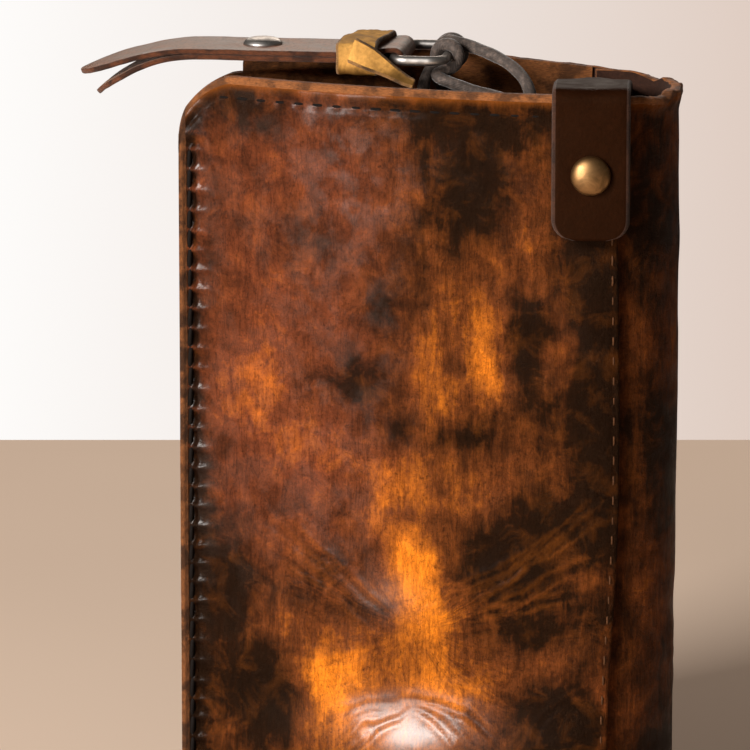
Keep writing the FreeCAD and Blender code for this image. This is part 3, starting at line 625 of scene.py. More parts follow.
# Each patch of the dye: x, z, half width and half height in millimetres, and how much thinner it is there
FRONT_PATCHES = (
    (-24.5, 62, 5, 9, 0.66), (-20, 48, 8, 8, 0.34), (-45, 31, 9, 9, 0.50), (-16, 34, 13, 7, 0.44),
    (-30, 19, 19, 8, 0.26), (-5, 112, 4.5, 8, 0.52), (-7, 124, 4, 9, 0.26), (2, 142, 8, 12, 0.30),
    (-65, 104, 8, 12, 0.22), (-58, 125, 14, 13, 0.04), (-62, 160, 14, 10, 0.03), (-18, 112, 3, 16, 0.26),
    (-20, 145, 2.4, 12, 0.24), (23.5, 27, 2.2, 13, 0.50), (20, 62, 8, 4, 0.20), (-12, 82, 14, 5, 0.16),
    (-60, 44, 8, 8, 0.16), (6, 92, 12, 5, 0.18), (-34, 76, 5, 9, 0.20), (14, 118, 4, 12, 0.24),
    (10, 42, 9, 6, 0.22), (-52, 88, 9, 7, 0.14), (-28, 84, 6, 6, 0.24), (12, 156, 6, 8, 0.20),
    (1, 64, 11, 7, -0.74), (8, 78, 9, 6, -0.34), (-10, 157, 7, 14, -0.50), (-21, 150, 2.4, 22, -0.30),
    (24, 104, 8, 26, -0.40), (24, 150, 9, 30, -0.34), (-72, 54, 7, 12, -0.40), (-62, 26, 8, 9, -0.40),
    (-38, 107, 8, 6, -0.34), (-30, 128, 6, 12, -0.22), (-36, 52, 7, 4, -0.22), (-78, 90, 3, 60, -0.16),
    (0, 176, 40, 4, -0.20), (-70, 176, 14, 8, -0.22), (14, 22, 10, 9, -0.40), (-47, 60, 5, 4, -0.26),
    (-12, 98, 8, 6, -0.36), (-28, 96, 5, 8, -0.22), (6, 48, 7, 3, -0.30), (4, 122, 5, 14, -0.30),
    (-50, 142, 9, 7, -0.16), (-70, 130, 6, 9, -0.12), (-68, 30, 12, 24, -0.20),
)


def dye_from(patches, points, base, seed):
    """Thinness of the dye at each place, from 0 for black to 1 for amber."""
    x, z = points[..., 0] / MM, points[..., 2] / MM
    wide = cloud(points, 26 * MM, seed, 4)
    x = x + 6 * cloud(points, 13 * MM, seed + 11, 5, 0.62)
    z = z + 8 * cloud(points, 13 * MM, seed + 23, 5, 0.62)
    heat = base + 0.13 * wide
    for px, pz, rx, rz, change in patches:
        heat = heat + change * np.exp(-((x - px) / rx) ** 2 - ((z - pz) / rz) ** 2)
    squeezed = points * np.array((1.0, 1.0, 0.16))
    streaks = cloud(squeezed, 4.5 * MM, seed + 41, 3)
    right = step(x, -42, -8) * step(z, 60, 96)
    return heat + 0.17 * streaks * right + 0.05 * cloud(points, 5 * MM, seed + 57, 3)


# ---------------------------------------------------------------- materials

class Nodes:
    """A node tree, with its nodes added in few words."""

    def __init__(self, tree):
        self.tree = tree
        tree.nodes.clear()

    def put(self, socket, value):
        if hasattr(value, "links"):
            self.tree.links.new(value, socket)
        else:
            socket.default_value = value

    def node(self, kind, inputs=(), **settings):
        """A node with its settings, and a value or a link for inputs by name or number."""
        made = self.tree.nodes.new(kind)
        for name, value in settings.items():
            setattr(made, name, value)
        for name, value in dict(inputs).items():
            self.put(made.inputs[name], value)
        return made


class Finish(Nodes):
    """The nodes of one material. Sizes are in metres, and patterns follow the object's own place."""

    def __init__(self, name, roughness=0.5, metallic=0.0):
        self.material = bpy.data.materials.new(name)
        self.material.use_nodes = True
        super().__init__(self.material.node_tree)
        self.skin = self.node("ShaderNodeBsdfPrincipled", {"Roughness": roughness, "Metallic": metallic})
        self.node("ShaderNodeOutputMaterial", {"Surface": self.skin.outputs["BSDF"]})
        self.place = self.node("ShaderNodeTexCoord").outputs["Object"]

    def set(self, **values):
        for name, value in values.items():
            self.put(self.skin.inputs[name.replace("_", " ")], value)

    def attribute(self, name):
        return self.node("ShaderNodeAttribute", attribute_name=name).outputs["Fac"]

    def uv(self):
        return self.node("ShaderNodeUVMap", uv_map="UVMap").outputs["UV"]

    def stretched(self, scale, vector=None):
        given = {"Scale": scale, "Vector": vector or self.place}
        return self.node("ShaderNodeMapping", given).outputs["Vector"]

    def noise(self, size, detail=4.0, rough=0.55, warp=0.0, vector=None):
        """Noise whose largest lumps are about this size."""
        given = {"Scale": 1.0 / size, "Detail": detail, "Roughness": rough, "Distortion": warp}
        return self.node("ShaderNodeTexNoise", {**given, "Vector": vector or self.place}).outputs["Fac"]

    def swing(self, *noise):
        """The same noise, from about -0.5 to 0.5."""
        return self.sum(self.noise(*noise), -0.5)

    def cells(self, size):
        given = {"Scale": 1.0 / size, "Vector": self.place}
        return self.node("ShaderNodeTexVoronoi", given).outputs["Distance"]

    def sum(self, a, b, how="ADD", clamp=False):
        return self.node("ShaderNodeMath", {0: a, 1: b}, operation=how, use_clamp=clamp).outputs[0]

    def times(self, a, b):
        return self.sum(a, b, "MULTIPLY")

    def span(self, value, low, high, to_low=0.0, to_high=1.0):
        given = {"Value": value, "From Min": low, "From Max": high, "To Min": to_low, "To Max": to_high}
        return self.node("ShaderNodeMapRange", given, interpolation_type="SMOOTHSTEP").outputs["Result"]

    def ramp(self, value, stops):
        node = self.node("ShaderNodeValToRGB", {"Fac": value})
        bar = node.color_ramp.elements
        while len(bar) < len(stops):
            bar.new(0.5)
        for element, (place, colour) in zip(bar, stops):
            element.position = place
            element.color = (*colour, 1)
        return node.outputs["Color"]

    def tones(self, value, colour, *stops):
        """Shades of one colour at (place, factor) stops."""
        return self.ramp(value, [(place, shade(colour, factor)) for place, factor in stops])

    def mix(self, share, a, b, how="MIX"):
        node = self.node("ShaderNodeMix", {0: share}, data_type="RGBA", blend_type=how)
        colours = [s for s in node.inputs if s.type == "RGBA"]
        for socket, colour in zip(colours, (a, b)):
            self.put(socket, colour if hasattr(colour, "links") else (*colour, 1))
        return [s for s in node.outputs if s.type == "RGBA"][0]

    def tinted(self, share, colour, tint):
        """The colour, taken part of the way to its product with the tint."""
        return self.mix(share, colour, self.mix(1.0, colour, tint, "MULTIPLY"))

    def bump(self, height, deep, strength):
        """Relief whose full height is deep metres, on top of any that is already there."""
        node = self.node("ShaderNodeBump", {"Strength": strength, "Distance": deep, "Height": height})
        normal = self.skin.inputs["Normal"]
        if normal.links:
            self.put(node.inputs["Normal"], normal.links[0].from_socket)
        self.put(normal, node.outputs["Normal"])


def shade(colour, factor):
    return tuple(min(1.0, c * factor) for c in colour)


def blend_of(a, b, share):
    return tuple(p * (1 - share) + q * share for p, q in zip(a, b))


def marbled_leather(name, colours, lift=0.0, gathered=False):
    """Hand-dyed, oiled leather: the mesh says where the dye is thinner and where shade is painted in, the
    nodes break it up.
    """
    f = Finish(name)
    red = f.attribute("red")
    upright = f.stretched((1.0, 1.0, 0.16))
    broad = f.swing(7 * MM, 7, 0.66, 0.5)
    fine = f.swing(1.6 * MM, 8, 0.78, 0.9)
    drawn = f.times(f.swing(1.7 * MM, 8, 0.74, 0.6, upright), f.sum(1.0, red, "SUBTRACT"))
    # Dye from the mesh, with the front wall's painted shade in it
    dye_and_shade = f.sum(f.attribute("dye_and_shade"), lift)
    for pattern, share in ((broad, 0.72), (fine, 0.22), (drawn, 0.62)):
        dye_and_shade = f.sum(dye_and_shade, f.times(pattern, share))
    relief = f.sum(f.times(fine, 0.8), drawn)
    if gathered:
        flow = {0: f.attribute("flow_turn"), 1: f.times(f.attribute("flow_reach"), 0.2)}
        join = f.node("ShaderNodeCombineXYZ", flow).outputs[0]
        rays = f.times(f.swing(2.6, 7, 0.7, 1.1, join), f.attribute("pull"))
        dye_and_shade = f.sum(dye_and_shade, f.times(rays, 1.25))
        relief = f.sum(relief, f.times(rays, 2.2))
    deep, brown, amber = colours.deep, colours.brown, colours.amber
    colour = f.ramp(dye_and_shade, (
        (0.0, shade(deep, 0.4)), (0.22, deep), (0.40, blend_of(deep, brown, 0.45)), (0.56, brown),
        (0.70, blend_of(brown, amber, 0.20)), (0.86, blend_of(brown, amber, 0.55)), (1.0, amber)))
    colour = f.tinted(f.times(red, 0.8), colour, (1.20, 1.07, 1.85))
    veins = f.noise(2.4 * MM, 7, 0.62, 0.8, upright)
    crackle = f.ramp(veins, ((0.44, (1.0, 1.0, 1.0)), (0.495, (0.30, 0.24, 0.22)), (0.53, (1.0, 1.0, 1.0))))
    colour = f.tinted(0.55, colour, crackle)
    pits = f.noise(0.75 * MM, 6, 0.75, 0.8)
    specks = ((0.34, (0.20, 0.18, 0.18)), (0.46, (0.92, 0.92, 0.92)), (0.68, (1.35, 1.32, 1.28)))
    colour = f.tinted(0.75, colour, f.ramp(pits, specks))
    rubbed = f.sum(f.attribute("worn"), f.times(broad, 0.9), clamp=True)
    colour = f.mix(f.times(rubbed, 0.7), colour, blend_of(brown, amber, 0.30))
    patchy = f.span(f.noise(8 * MM, 5, 0.6), 0.35, 0.65, 0.34, 0.54)
    oiled = f.times(red, f.span(patchy, 0.36, 0.5, 0.30, 0.04))
    f.set(Base_Color=colour, Roughness=f.sum(patchy, f.times(fine, 0.4)),
          Coat_Weight=f.sum(f.attribute("polish"), oiled), Coat_Roughness=0.20,
          Specular_IOR_Level=0.14, Specular_Tint=(1.0, 0.52, 0.28, 1.0))
    f.bump(f.noise(5.5 * MM, 3, 0.5, 0.6), 0.7 * MM, 0.35)
    f.bump(relief, 0.5 * MM, 0.8)
    f.bump(pits, 0.20 * MM, 0.9)
    f.bump(f.cells(0.9 * MM), 0.05 * MM, 0.6)
    return f.material


def plain_leather(name, colour, gloss=0.42, grain=0.8 * MM, mottle=0.35, coat=0.15, shade_below=None):
    """Leather of one dye, mottled and grained, and darkened below a height as painted shade if one is given.
    """
    f = Finish(name)
    broad = f.noise(8 * MM, 5, 0.6, 0.8)
    fine = f.noise(0.9 * MM, 5, 0.65)
    tone = f.tones(broad, colour, (0.25, 1 - mottle), (0.55, 1), (0.8, 1 + 1.6 * mottle))
    tone = f.tinted(0.5, tone, f.ramp(fine, ((0.3, (0.6, 0.6, 0.6)), (0.7, (1.3, 1.3, 1.3)))))
    # Painted shade over the lower part of the piece, below the given height
    if shade_below:
        height = f.node("ShaderNodeSeparateXYZ", {0: f.place}).outputs[2]
        dark = f.span(f.sum(height, f.times(broad, 4 * MM)), shade_below, shade_below + 4 * MM, 0.88, 0.0)
        tone = f.mix(dark, tone, shade(colour, 0.08))
    f.set(Base_Color=tone, Roughness=f.span(broad, 0.3, 0.7, gloss - 0.07, gloss + 0.1),
          Coat_Weight=coat, Coat_Roughness=0.3, Specular_IOR_Level=0.08,
          Specular_Tint=(1.0, 0.60, 0.35, 1.0))
    f.bump(f.noise(4 * MM, 4, 0.55), 0.25 * MM, 0.4)
    f.bump(f.cells(grain), 0.05 * MM, 0.7)
    f.bump(fine, 0.06 * MM, 0.7)
    return f.material


def cut_edge(name, colour, dark=0.35, fibre=(1.0, 1.0, 5.0)):
    """Cut leather: fibres in layers, darkened by hands in patches."""
    f = Finish(name, 0.78)
    layers = f.noise(1.1 * MM, 6, 0.7, 0.3, f.stretched(fibre))
    tone = f.tones(layers, colour, (0.28, 0.22), (0.48, 0.75), (0.62, 1), (0.8, 1.7))
    tone = f.mix(f.span(f.noise(6 * MM, 4, 0.6), 0.45, 0.62, 0.0, dark * 2), tone, shade(colour, 0.10))
    f.set(Base_Color=tone, Sheen_Weight=0.1, Sheen_Roughness=0.5, Specular_IOR_Level=0.2)
    f.bump(layers, 0.35 * MM, 0.9)
    f.bump(f.noise(0.5 * MM, 3), 0.1 * MM, 0.8)
    return f.material


def flesh_side(name, colour, nap=0.8 * MM):
    """Rough inner side of leather, napped cloth, felt or board."""
    f = Finish(name, 0.9)
    fibres = f.noise(nap, 6, 0.75)
    tone = f.tones(fibres, colour, (0.3, 0.5), (0.55, 1), (0.75, 1.5))
    tone = f.mix(f.span(f.noise(14 * MM, 4), 0.4, 0.65, 0, 0.45), tone, shade(colour, 0.55))
    f.set(Base_Color=tone, Sheen_Weight=0.1, Sheen_Roughness=0.45, Specular_IOR_Level=0.2)
    f.bump(fibres, 0.2 * MM, 0.8)
    return f.material


def strap_leather(name, colour):
    """Old strap leather, polished by use, with fine cracks across it."""
    f = Finish(name)
    along = f.stretched((1.0, 0.35, 1.0), f.uv())
    cracked = {"Scale": 1.4, "Detail": 7, "Distortion": 0.6, "Vector": along}
    cracks = f.node("ShaderNodeTexNoise", cracked).outputs["Fac"]
    broad = f.noise(9 * MM, 5, 0.6, 0.6)
    tone = f.tones(broad, colour, (0.28, 0.35), (0.5, 1), (0.75, 2.1))
    tone = f.mix(f.span(cracks, 0.52, 0.62, 0, 0.6), tone, shade(colour, 0.3))
    f.set(Base_Color=tone, Roughness=f.span(broad, 0.3, 0.7, 0.42, 0.56),
          Coat_Weight=0.12, Coat_Roughness=0.3)
    f.bump(cracks, 0.18 * MM, 0.7)
    f.bump(f.noise(0.8 * MM, 5, 0.7), 0.06 * MM, 0.7)
    return f.material


def cord_finish(name, colour, twist, gloss, fuzz):
    """Twisted lace, from its length and turn in the UV map."""
    f = Finish(name)
    wound = {"Scale": twist, "Distortion": 1.2, "Detail": 2, "Vector": f.stretched((0.35, 3.14, 1), f.uv())}
    strands = f.node("ShaderNodeTexWave", wound, wave_type="BANDS", bands_direction="DIAGONAL").outputs["Fac"]
    grain = f.noise(1.2 * MM, 6, 0.7)
    tone = f.tones(grain, colour, (0.3, 0.4), (0.5, 1), (0.72, 2.6))
    f.set(Base_Color=tone, Roughness=gloss, Sheen_Weight=fuzz, Sheen_Roughness=0.4)
    f.bump(strands, 0.14 * MM, 0.4)
    f.bump(grain, 0.12 * MM, 0.8)
    return f.material


def sewing_thread(name, colour, gloss):
    """Waxed thread."""
    f = Finish(name, gloss)
    grain = f.noise(0.5 * MM, 4, 0.6)
    tone = f.tones(grain, colour, (0.3, 0.45), (0.6, 1), (0.8, 1.5))
    f.set(Base_Color=tone, Specular_IOR_Level=0.15)
    f.bump(grain, 0.1 * MM, 0.7)
    return f.material


def worn_metal(name, colour, gloss, dull):
    """Metal handled for years: duller in patches, with fine scratches."""
    f = Finish(name, gloss, 1.0)
    broad = f.noise(3.5 * MM, 5, 0.6, 0.8)
    scratches = f.noise(0.5 * MM, 3, 0.5, 0.0, f.stretched((1.0, 6.0, 1.0)))
    tone = f.tones(broad, colour, (0.3, 0.55), (0.55, 1), (0.8, 1.25))
    f.set(Base_Color=tone, Roughness=f.span(broad, 0.3, 0.7, gloss + dull * 0.3, gloss))
    f.bump(scratches, 0.012 * MM, 0.5)
    return f.material


# ---------------------------------------------------------------- shared finishes

FINISH = {}


def dress(node, finish):
    """Gives a frame node its finish."""
    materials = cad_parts[node].data.materials
    if not materials:
        materials.append(FINISH[finish])
    for i in range(len(materials)):
        materials[i] = FINISH[finish]


def place_piece(piece, body, slot, *nodes):
    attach(piece, body)
    if nodes:
        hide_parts(*nodes)
    return piece


class CASE_OT_finishes(bpy.types.Operator):
    """Mix the leathers, threads and metals"""

    bl_idname = "case.finishes"
    bl_label = "Finishes"

    def execute(self, context):
        c = context.scene.case_colours
        FINISH["front"] = marbled_leather("Front Leather", c, 0.0, True)
        FINISH["back"] = marbled_leather("Back Leather", c, -0.03)
        FINISH["side"] = marbled_leather("Side Leather", c, -0.07)
        FINISH["raw"] = cut_edge("Cut Edge", c.raw)
        FINISH["seam_edge"] = cut_edge("Seam Edge", shade(c.raw, 0.62), 0.4, (1.0, 6.0, 1.0))
        FINISH["inside"] = flesh_side("Wall Inside", (0.042, 0.016, 0.009))
        FINISH["interlining"] = flesh_side("Interlining", (0.16, 0.095, 0.05), 1.2 * MM)
        FINISH["lining"] = flesh_side("Lining", (0.115, 0.012, 0.012), 0.5 * MM)
        FINISH["base"] = plain_leather("Base Leather", (0.050, 0.016, 0.007))
        FINISH["board"] = flesh_side("Base Board", (0.19, 0.12, 0.065), 2 * MM)
        FINISH["felt"] = flesh_side("Base Felt", (0.10, 0.012, 0.012), 0.6 * MM)
        FINISH["tab"] = plain_leather("Tab Leather", c.tab, 0.6, 0.7 * MM, 0.22, 0.0)
        FINISH["tab_edge"] = cut_edge("Tab Edge", (0.060, 0.022, 0.010), 0.3)
        FINISH["strap"] = strap_leather("Strap Leather", (0.17, 0.080, 0.050))
        FINISH["strap_edge"] = cut_edge("Strap Edge", (0.12, 0.036, 0.012), 0.4, (1.0, 1.0, 4.0))
        FINISH["strap_flesh"] = flesh_side("Strap Underside", (0.22, 0.105, 0.055))
        FINISH["thong"] = plain_leather("Thong Leather", c.thong, 0.7, 0.6 * MM, 0.6, 0.0, RIM + 4.5 * MM)
        FINISH["thong_edge"] = cut_edge("Thong Edge", (0.30, 0.15, 0.045), 0.4)
        FINISH["lace"] = cord_finish("Lace", (0.060, 0.043, 0.035), 2.2, 0.75, 0.35)
        FINISH["thread"] = sewing_thread("Dark Thread", (0.006, 0.0035, 0.0025), 0.8)
        FINISH["light_thread"] = sewing_thread("Light Thread", (0.09, 0.036, 0.013), 0.7)
        FINISH["brass"] = worn_metal("Brass", c.brass, 0.40, 0.2)
        FINISH["plated"] = worn_metal("Plated Metal", (0.46, 0.44, 0.42), 0.36, 0.5)
        FINISH["steel"] = worn_metal("Steel", (0.50, 0.48, 0.45), 0.3, 0.5)
        return {"FINISHED"}


# ---------------------------------------------------------------- walls

# The eased rim: how far each of its rows is below the top and how far it is cut back, in millimetres
BEVEL = ((1.7, 0.0), (1.1, 0.12), (0.6, 0.34), (0.25, 0.62), (0.0, 0.98))


def corner_height(x):
    """Height of the rim over the rounded upper corner, and level beyond it."""
    away = np.clip(X_SEAM + CORNER - x, 0, CORNER)
    return RIM - CORNER + np.sqrt(np.maximum(CORNER ** 2 - away ** 2, 0))


def sheet_rows(count, top):
    """Heights of the rows under a top line, and how far each is cut back by the eased rim."""
    share = np.linspace(0, 1, count - len(BEVEL) + 1)[:-1]
    body = share[:, None] * (top - BEVEL[0][0] * MM)[None, :]
    rim = np.array([top - low * MM for low, _ in BEVEL])
    inset = np.concatenate([np.zeros(len(share)), [back * MM for _, back in BEVEL]])
    return np.concatenate([body, rim]), inset


def leather_sheet(name, places, out, inset, relief, skin, values, mirror=False, seamed=0):
    """A wall as one shell from its smooth places. seamed is how many columns are the seam's cut edge."""
    outer = places + out * (relief - inset[:, None])[..., None]
    inner = places - out * (LEATHER * 0.97)
    inner[-1, :, 2] -= 0.2 * MM
    middle = places - out * (LEATHER * 0.62)
    tangent = np.cross(out, (0, 0, 1.0)) * 0.2 * MM
    middle[:, 0] += tangent[:, 0]
    middle[:, -1] -= tangent[:, -1]
    middle[-1, :, 2] += 0.12 * MM
    if mirror:
        for grid in (outer, inner, middle):
            grid[..., 1] *= -1
    finishes = [FINISH[key] for key in (skin, "raw", "inside", "seam_edge")]
    piece = shell(name, outer, middle, inner, finishes, values, mirror)
    rows, columns = outer.shape[:2]
    quads = (rows - 1) * (columns - 1)
    indices = np.zeros(len(piece.data.polygons), np.int32)
    piece.data.polygons.foreach_get("material_index", indices)
    face = indices[:quads].reshape(rows - 1, columns - 1)
    face[-(len(BEVEL) - 1):] = RAW
    if seamed:
        face[:, :seamed] = SEAM_EDGE
        indices[2 * quads:].reshape(-1, 2)[-(rows - 2):] = SEAM_EDGE
    piece.data.polygons.foreach_set("material_index", indices)
    return piece


def long_wall(sizes, top_of):
    """Columns, heights, cut-back rim, smooth places and outward directions of a wall under its top line."""
    s, kind, t = wall_columns(sizes.columns)
    x_top = wall_place(kind, t, np.full(s.shape, RIM))[:, 0]
    x_top = np.where(s < CORNER * 0.999, X_SEAM + s, x_top)
    z, inset = sheet_rows(sizes.rows, top_of(x_top))
    places = soften(wall_place(kind[None, :], t[None, :], z), s)
    along = np.gradient(places, axis=1)
    out = unit(xyz(along[..., 1], -along[..., 0], 0))
    return s, z, inset, places, out


def seam_columns(s):
    """How many of the first columns are on the seam's cut edge."""
    return int(np.searchsorted(s, 1.5 * MM))


def general_relief(sizes, s, z, places, top, seed):
    """What both long walls share: the laced channel, the hem, lumps and a lifted lap edge."""
    relief = seam_relief(s, z, LACING_LOW, RIM - CORNER - 3 * MM, seed, sizes.pucker) + rim_relief(s, top - z)
    relief = relief + 0.30 * MM * cloud(places, 28 * MM, seed + 5, 2)
    relief = relief + 0.12 * MM * cloud(places, 7 * MM, seed + 9, 3)
    lap = s.max() - s
    relief = relief + 0.22 * MM * hill(lap, 0, 2.2 * MM) * (1 + cloud(places, 10 * MM, seed + 2, 2))
    stitched = 0.5 + 0.5 * np.cos(2 * math.pi * (z - LAP_ROW_LOW - LAP_STITCH_MIDDLE) / PITCH)
    return relief - 0.22 * MM * hill(lap, 1.4 * MM, 0.7 * MM) * (0.3 + 0.7 * stitched)


def front_relief(sizes, s, z, places, dip, ridge):
    """The front wall's belly over its foot, with the hollow above it where the creases gather."""
    x = places[..., 0]
    relief = general_relief(sizes, s, z, places, z[-1][None, :], sizes.seed)
    relief = relief + sizes.crease * (0.6 * ridge - dip)
    relief = relief + 2.6 * MM * hill(x, GATHER_X, 30 * MM) * hill(z, 12 * MM, 13 * MM)
    return relief - 0.5 * MM * hill(x, GATHER_X, 30 * MM) * hill(z, GATHER_Z, 16 * MM)


def front_values(sizes, s, z, places, dip, ridge):
    """Where the front wall's dye is thinner, reddish or worn, where shade is painted into it, and where the
    leather is polished or drawn.
    """
    x = places[..., 0]
    tooth = seam_teeth(z, sizes.seed)
    # Lighter on the creases' ridges, where the leather is pulled; darker down their valleys as painted shade
    heat = dye_from(FRONT_PATCHES, places, 0.49, sizes.seed) + 0.14 * ridge - 0.10 * dip
    # Darker in the seam's channel between the stitches' teeth: painted shade
    heat = heat - 0.40 * hill(s, 2.7 * MM, 1.6 * MM) * (1 - tooth)
    heat = heat - 0.26 * hill(s, 3 * MM, 5 * MM) * (1 - step(z, 62 * MM, 96 * MM))
    # Darker towards the right: partly the wall's darker dye there, partly painted shade away from the light
    # on the left
    heat = heat - 0.06 * step(x, -26 * MM, -6 * MM) - 0.20 * step(x, -2 * MM, 26 * MM)
    heat = heat - 0.06 * step(z, 120 * MM, 175 * MM)
    red = (1 - step(x, -48 * MM, -14 * MM)) * step(z, 36 * MM, 84 * MM)
    red = np.clip(red + 0.25 * cloud(places, 20 * MM, 3, 2), 0, 1)
    worn = 1.1 * hill(z[-1][None, :] - z, 0, 2.2 * MM) + 0.4 * ridge ** 2 + 0.5 * hill(s, 0.6 * MM, 0.9 * MM)
    polish = hill(x, GATHER_X, 22 * MM) * hill(z, 21 * MM, 7 * MM)
    polish = polish + 0.7 * hill(x, -30 * MM, 7 * MM) * hill(z, 55 * MM, 5 * MM)
    polish = polish + 0.10 * tooth * hill(s, 4 * MM, 4 * MM)
    return {"dye_and_shade": heat, "red": red, "worn": worn, "polish": polish, **flow_values(places)}


class CASE_OT_front(bpy.types.Operator):
    """Make the creased front wall"""

    bl_idname = "case.front_wall"
    bl_label = "Front Wall"

    def execute(self, context):
        sizes = context.scene.case_sizes
        s, z, inset, places, out = long_wall(sizes, corner_height)
        given = (sizes, np.broadcast_to(s, z.shape), z, places, *crease_relief(places[..., 0], z, places))
        piece = leather_sheet("front_wall", places, out, inset, front_relief(*given), "front",
                              front_values(*given), seamed=seam_columns(s))
        place_piece(piece, "case", "front_leather", "front_panel")
        return {"FINISHED"}


# The collar's notch for the thong, half the width of its steep sides, and where the collar starts to fall
NOTCH_DEPTH, NOTCH_PLAY = 4.35 * MM, 0.6 * MM
SHEER = 0.1 * MM
X_SLOPE = -26 * MM


def back_height(x):
    """Height of the back wall: its collar, the notch under the thong and the slope to the round end."""
    start = X_SEAM + CORNER
    top = RIM + COLLAR
    notch = STRAP_MIDDLE - NOTCH_DEPTH
    left = X_THONG - THONG_WIDTH / 2 - NOTCH_PLAY
    right = X_THONG + THONG_WIDTH / 2 + NOTCH_PLAY
    line = ((start - SHEER, RIM), (start, RIM + COLLAR * 0.5), (start + 2.5 * MM, top), (left - SHEER, top),
            (left + SHEER, notch), (right - SHEER, notch), (right + SHEER, top),
            (X_SLOPE, top), (CX, RIM + 0.2 * MM), (CX + 10 * MM, RIM - END_DROP), (X_END, RIM - END_DROP))
    level = np.interp(x, [p[0] for p in line], [p[1] for p in line])
    place = xyz(x, 0, 0)
    ragged = 0.32 * MM * cloud(place, 5 * MM, 77, 3) * step(x, X_SEAM + CORNER, X_SEAM + CORNER + 6 * MM)
    return np.where(x < start, corner_height(x), level) + ragged


BACK_PATCHES = (
    (-40, 120, 16, 20, 0.34), (0, 60, 14, 18, 0.36), (-55, 40, 12, 14, 0.30), (6, 140, 10, 16, 0.26),
    (-20, 90, 10, 30, 0.22), (-62, 150, 10, 12, 0.22), (-24, 24, 18, 8, 0.34), (-6, 168, 12, 6, 0.18),
    (-30, 70, 14, 12, -0.36), (-70, 90, 10, 22, -0.30), (16, 100, 10, 20, -0.30), (-18, 146, 12, 14, -0.30),
    (-50, 12, 14, 8, -0.26), (12, 26, 10, 12, -0.24),
)


class CASE_OT_back(bpy.types.Operator):
    """Make the back wall with its collar"""

    bl_idname = "case.back_wall"
    bl_label = "Back Wall"

    def execute(self, context):
        sizes = context.scene.case_sizes
        s, z, inset, places, out = long_wall(sizes, back_height)
        s_grid = np.broadcast_to(s, z.shape)
        top = z[-1][None, :]
        folds = cloud(places * np.array((1.0, 1.0, 0.4)), 12 * MM, 91, 3)
        relief = general_relief(sizes, s_grid, z, places, top, sizes.seed + 50)
        relief = relief + 0.35 * MM * folds * hill(z, 50 * MM, 45 * MM)
        heat = dye_from(BACK_PATCHES, places, 0.47, sizes.seed + 60) + 0.12 * folds
        heat = heat - 0.10 * hill(s_grid, 5 * MM, 4 * MM)
        red = np.clip(0.4 + 0.8 * cloud(places, 40 * MM, 13, 2), 0, 1)
        worn = 0.5 * hill(top - z, 0, 1.4 * MM) + 0.4 * hill(s_grid, 0.8 * MM, 1.2 * MM)
        values = {"dye_and_shade": heat, "red": red, "worn": worn + 0.3 * np.clip(folds, 0, 1)}
        piece = leather_sheet("back_wall", places, out, inset, relief, "back", values, True, seam_columns(s))
        place_piece(piece, "case", "back_leather", "back_panel")
        return {"FINISHED"}


SIDE_PATCHES = (
    (40, 168, 6, 8, 0.20), (38, 120, 8, 14, 0.22), (34, 60, 7, 16, 0.20), (30, 28, 8, 10, 0.22),
    (40, 90, 6, 10, -0.2), (36, 150, 8, 10, -0.14), (38, 14, 10, 10, -0.2),
)


class CASE_OT_side(bpy.types.Operator):
    """Make the darker wall round the end, with its ragged top"""

    bl_idname = "case.side_wall"
    bl_label = "Side Wall"

    def execute(self, context):
        sizes = context.scene.case_sizes
        angle = np.linspace(UNDER_ANGLE, math.pi - UNDER_ANGLE, int(sizes.columns * 0.8))
        ground = xyz(angle * HALF_DEPTH, 0, 0)
        near, far = LAP_ANGLE, math.pi - LAP_ANGLE
        exposed = step(angle, near, near + 0.4) * (1 - step(angle, far - 0.4, far))
        lumps = 1.1 * MM * cloud(ground, 3.2 * MM, 21, 4) * exposed
        z, inset = sheet_rows(int(sizes.rows * 0.9), RIM - END_DROP * exposed + lumps)
        half, cx = plan_at(z)
        out = level_out(np.broadcast_to(angle, z.shape))
        places = xyz(cx, 0, z) + out * (half - LEATHER - LAYER_GAP)[..., None]
        flare = step(z, RIM - 7 * MM, RIM) * (1.4 * MM + 1.4 * MM * cloud(places, 3.4 * MM, 33, 4))
        buckle = 0.3 * MM * cloud(places * np.array((1, 1, 2.2)), 10 * MM, 39, 2) * hill(z, 42 * MM, 22 * MM)
        relief = (flare + 0.35 * MM * cloud(places, 16 * MM, 35, 3) + buckle) * exposed
        values = {"dye_and_shade": dye_from(SIDE_PATCHES, places, 0.38, sizes.seed + 90), "red": np.zeros(z.shape),
                  "worn": 1.3 * hill(z[-1][None, :] - z, 0, 2.4 * MM)}
        piece = leather_sheet("side_wall", places, out, inset, relief, "side", values)
        place_piece(piece, "case", "side_leather", "side_panel")
        return {"FINISHED"}


# ---------------------------------------------------------------- stitching

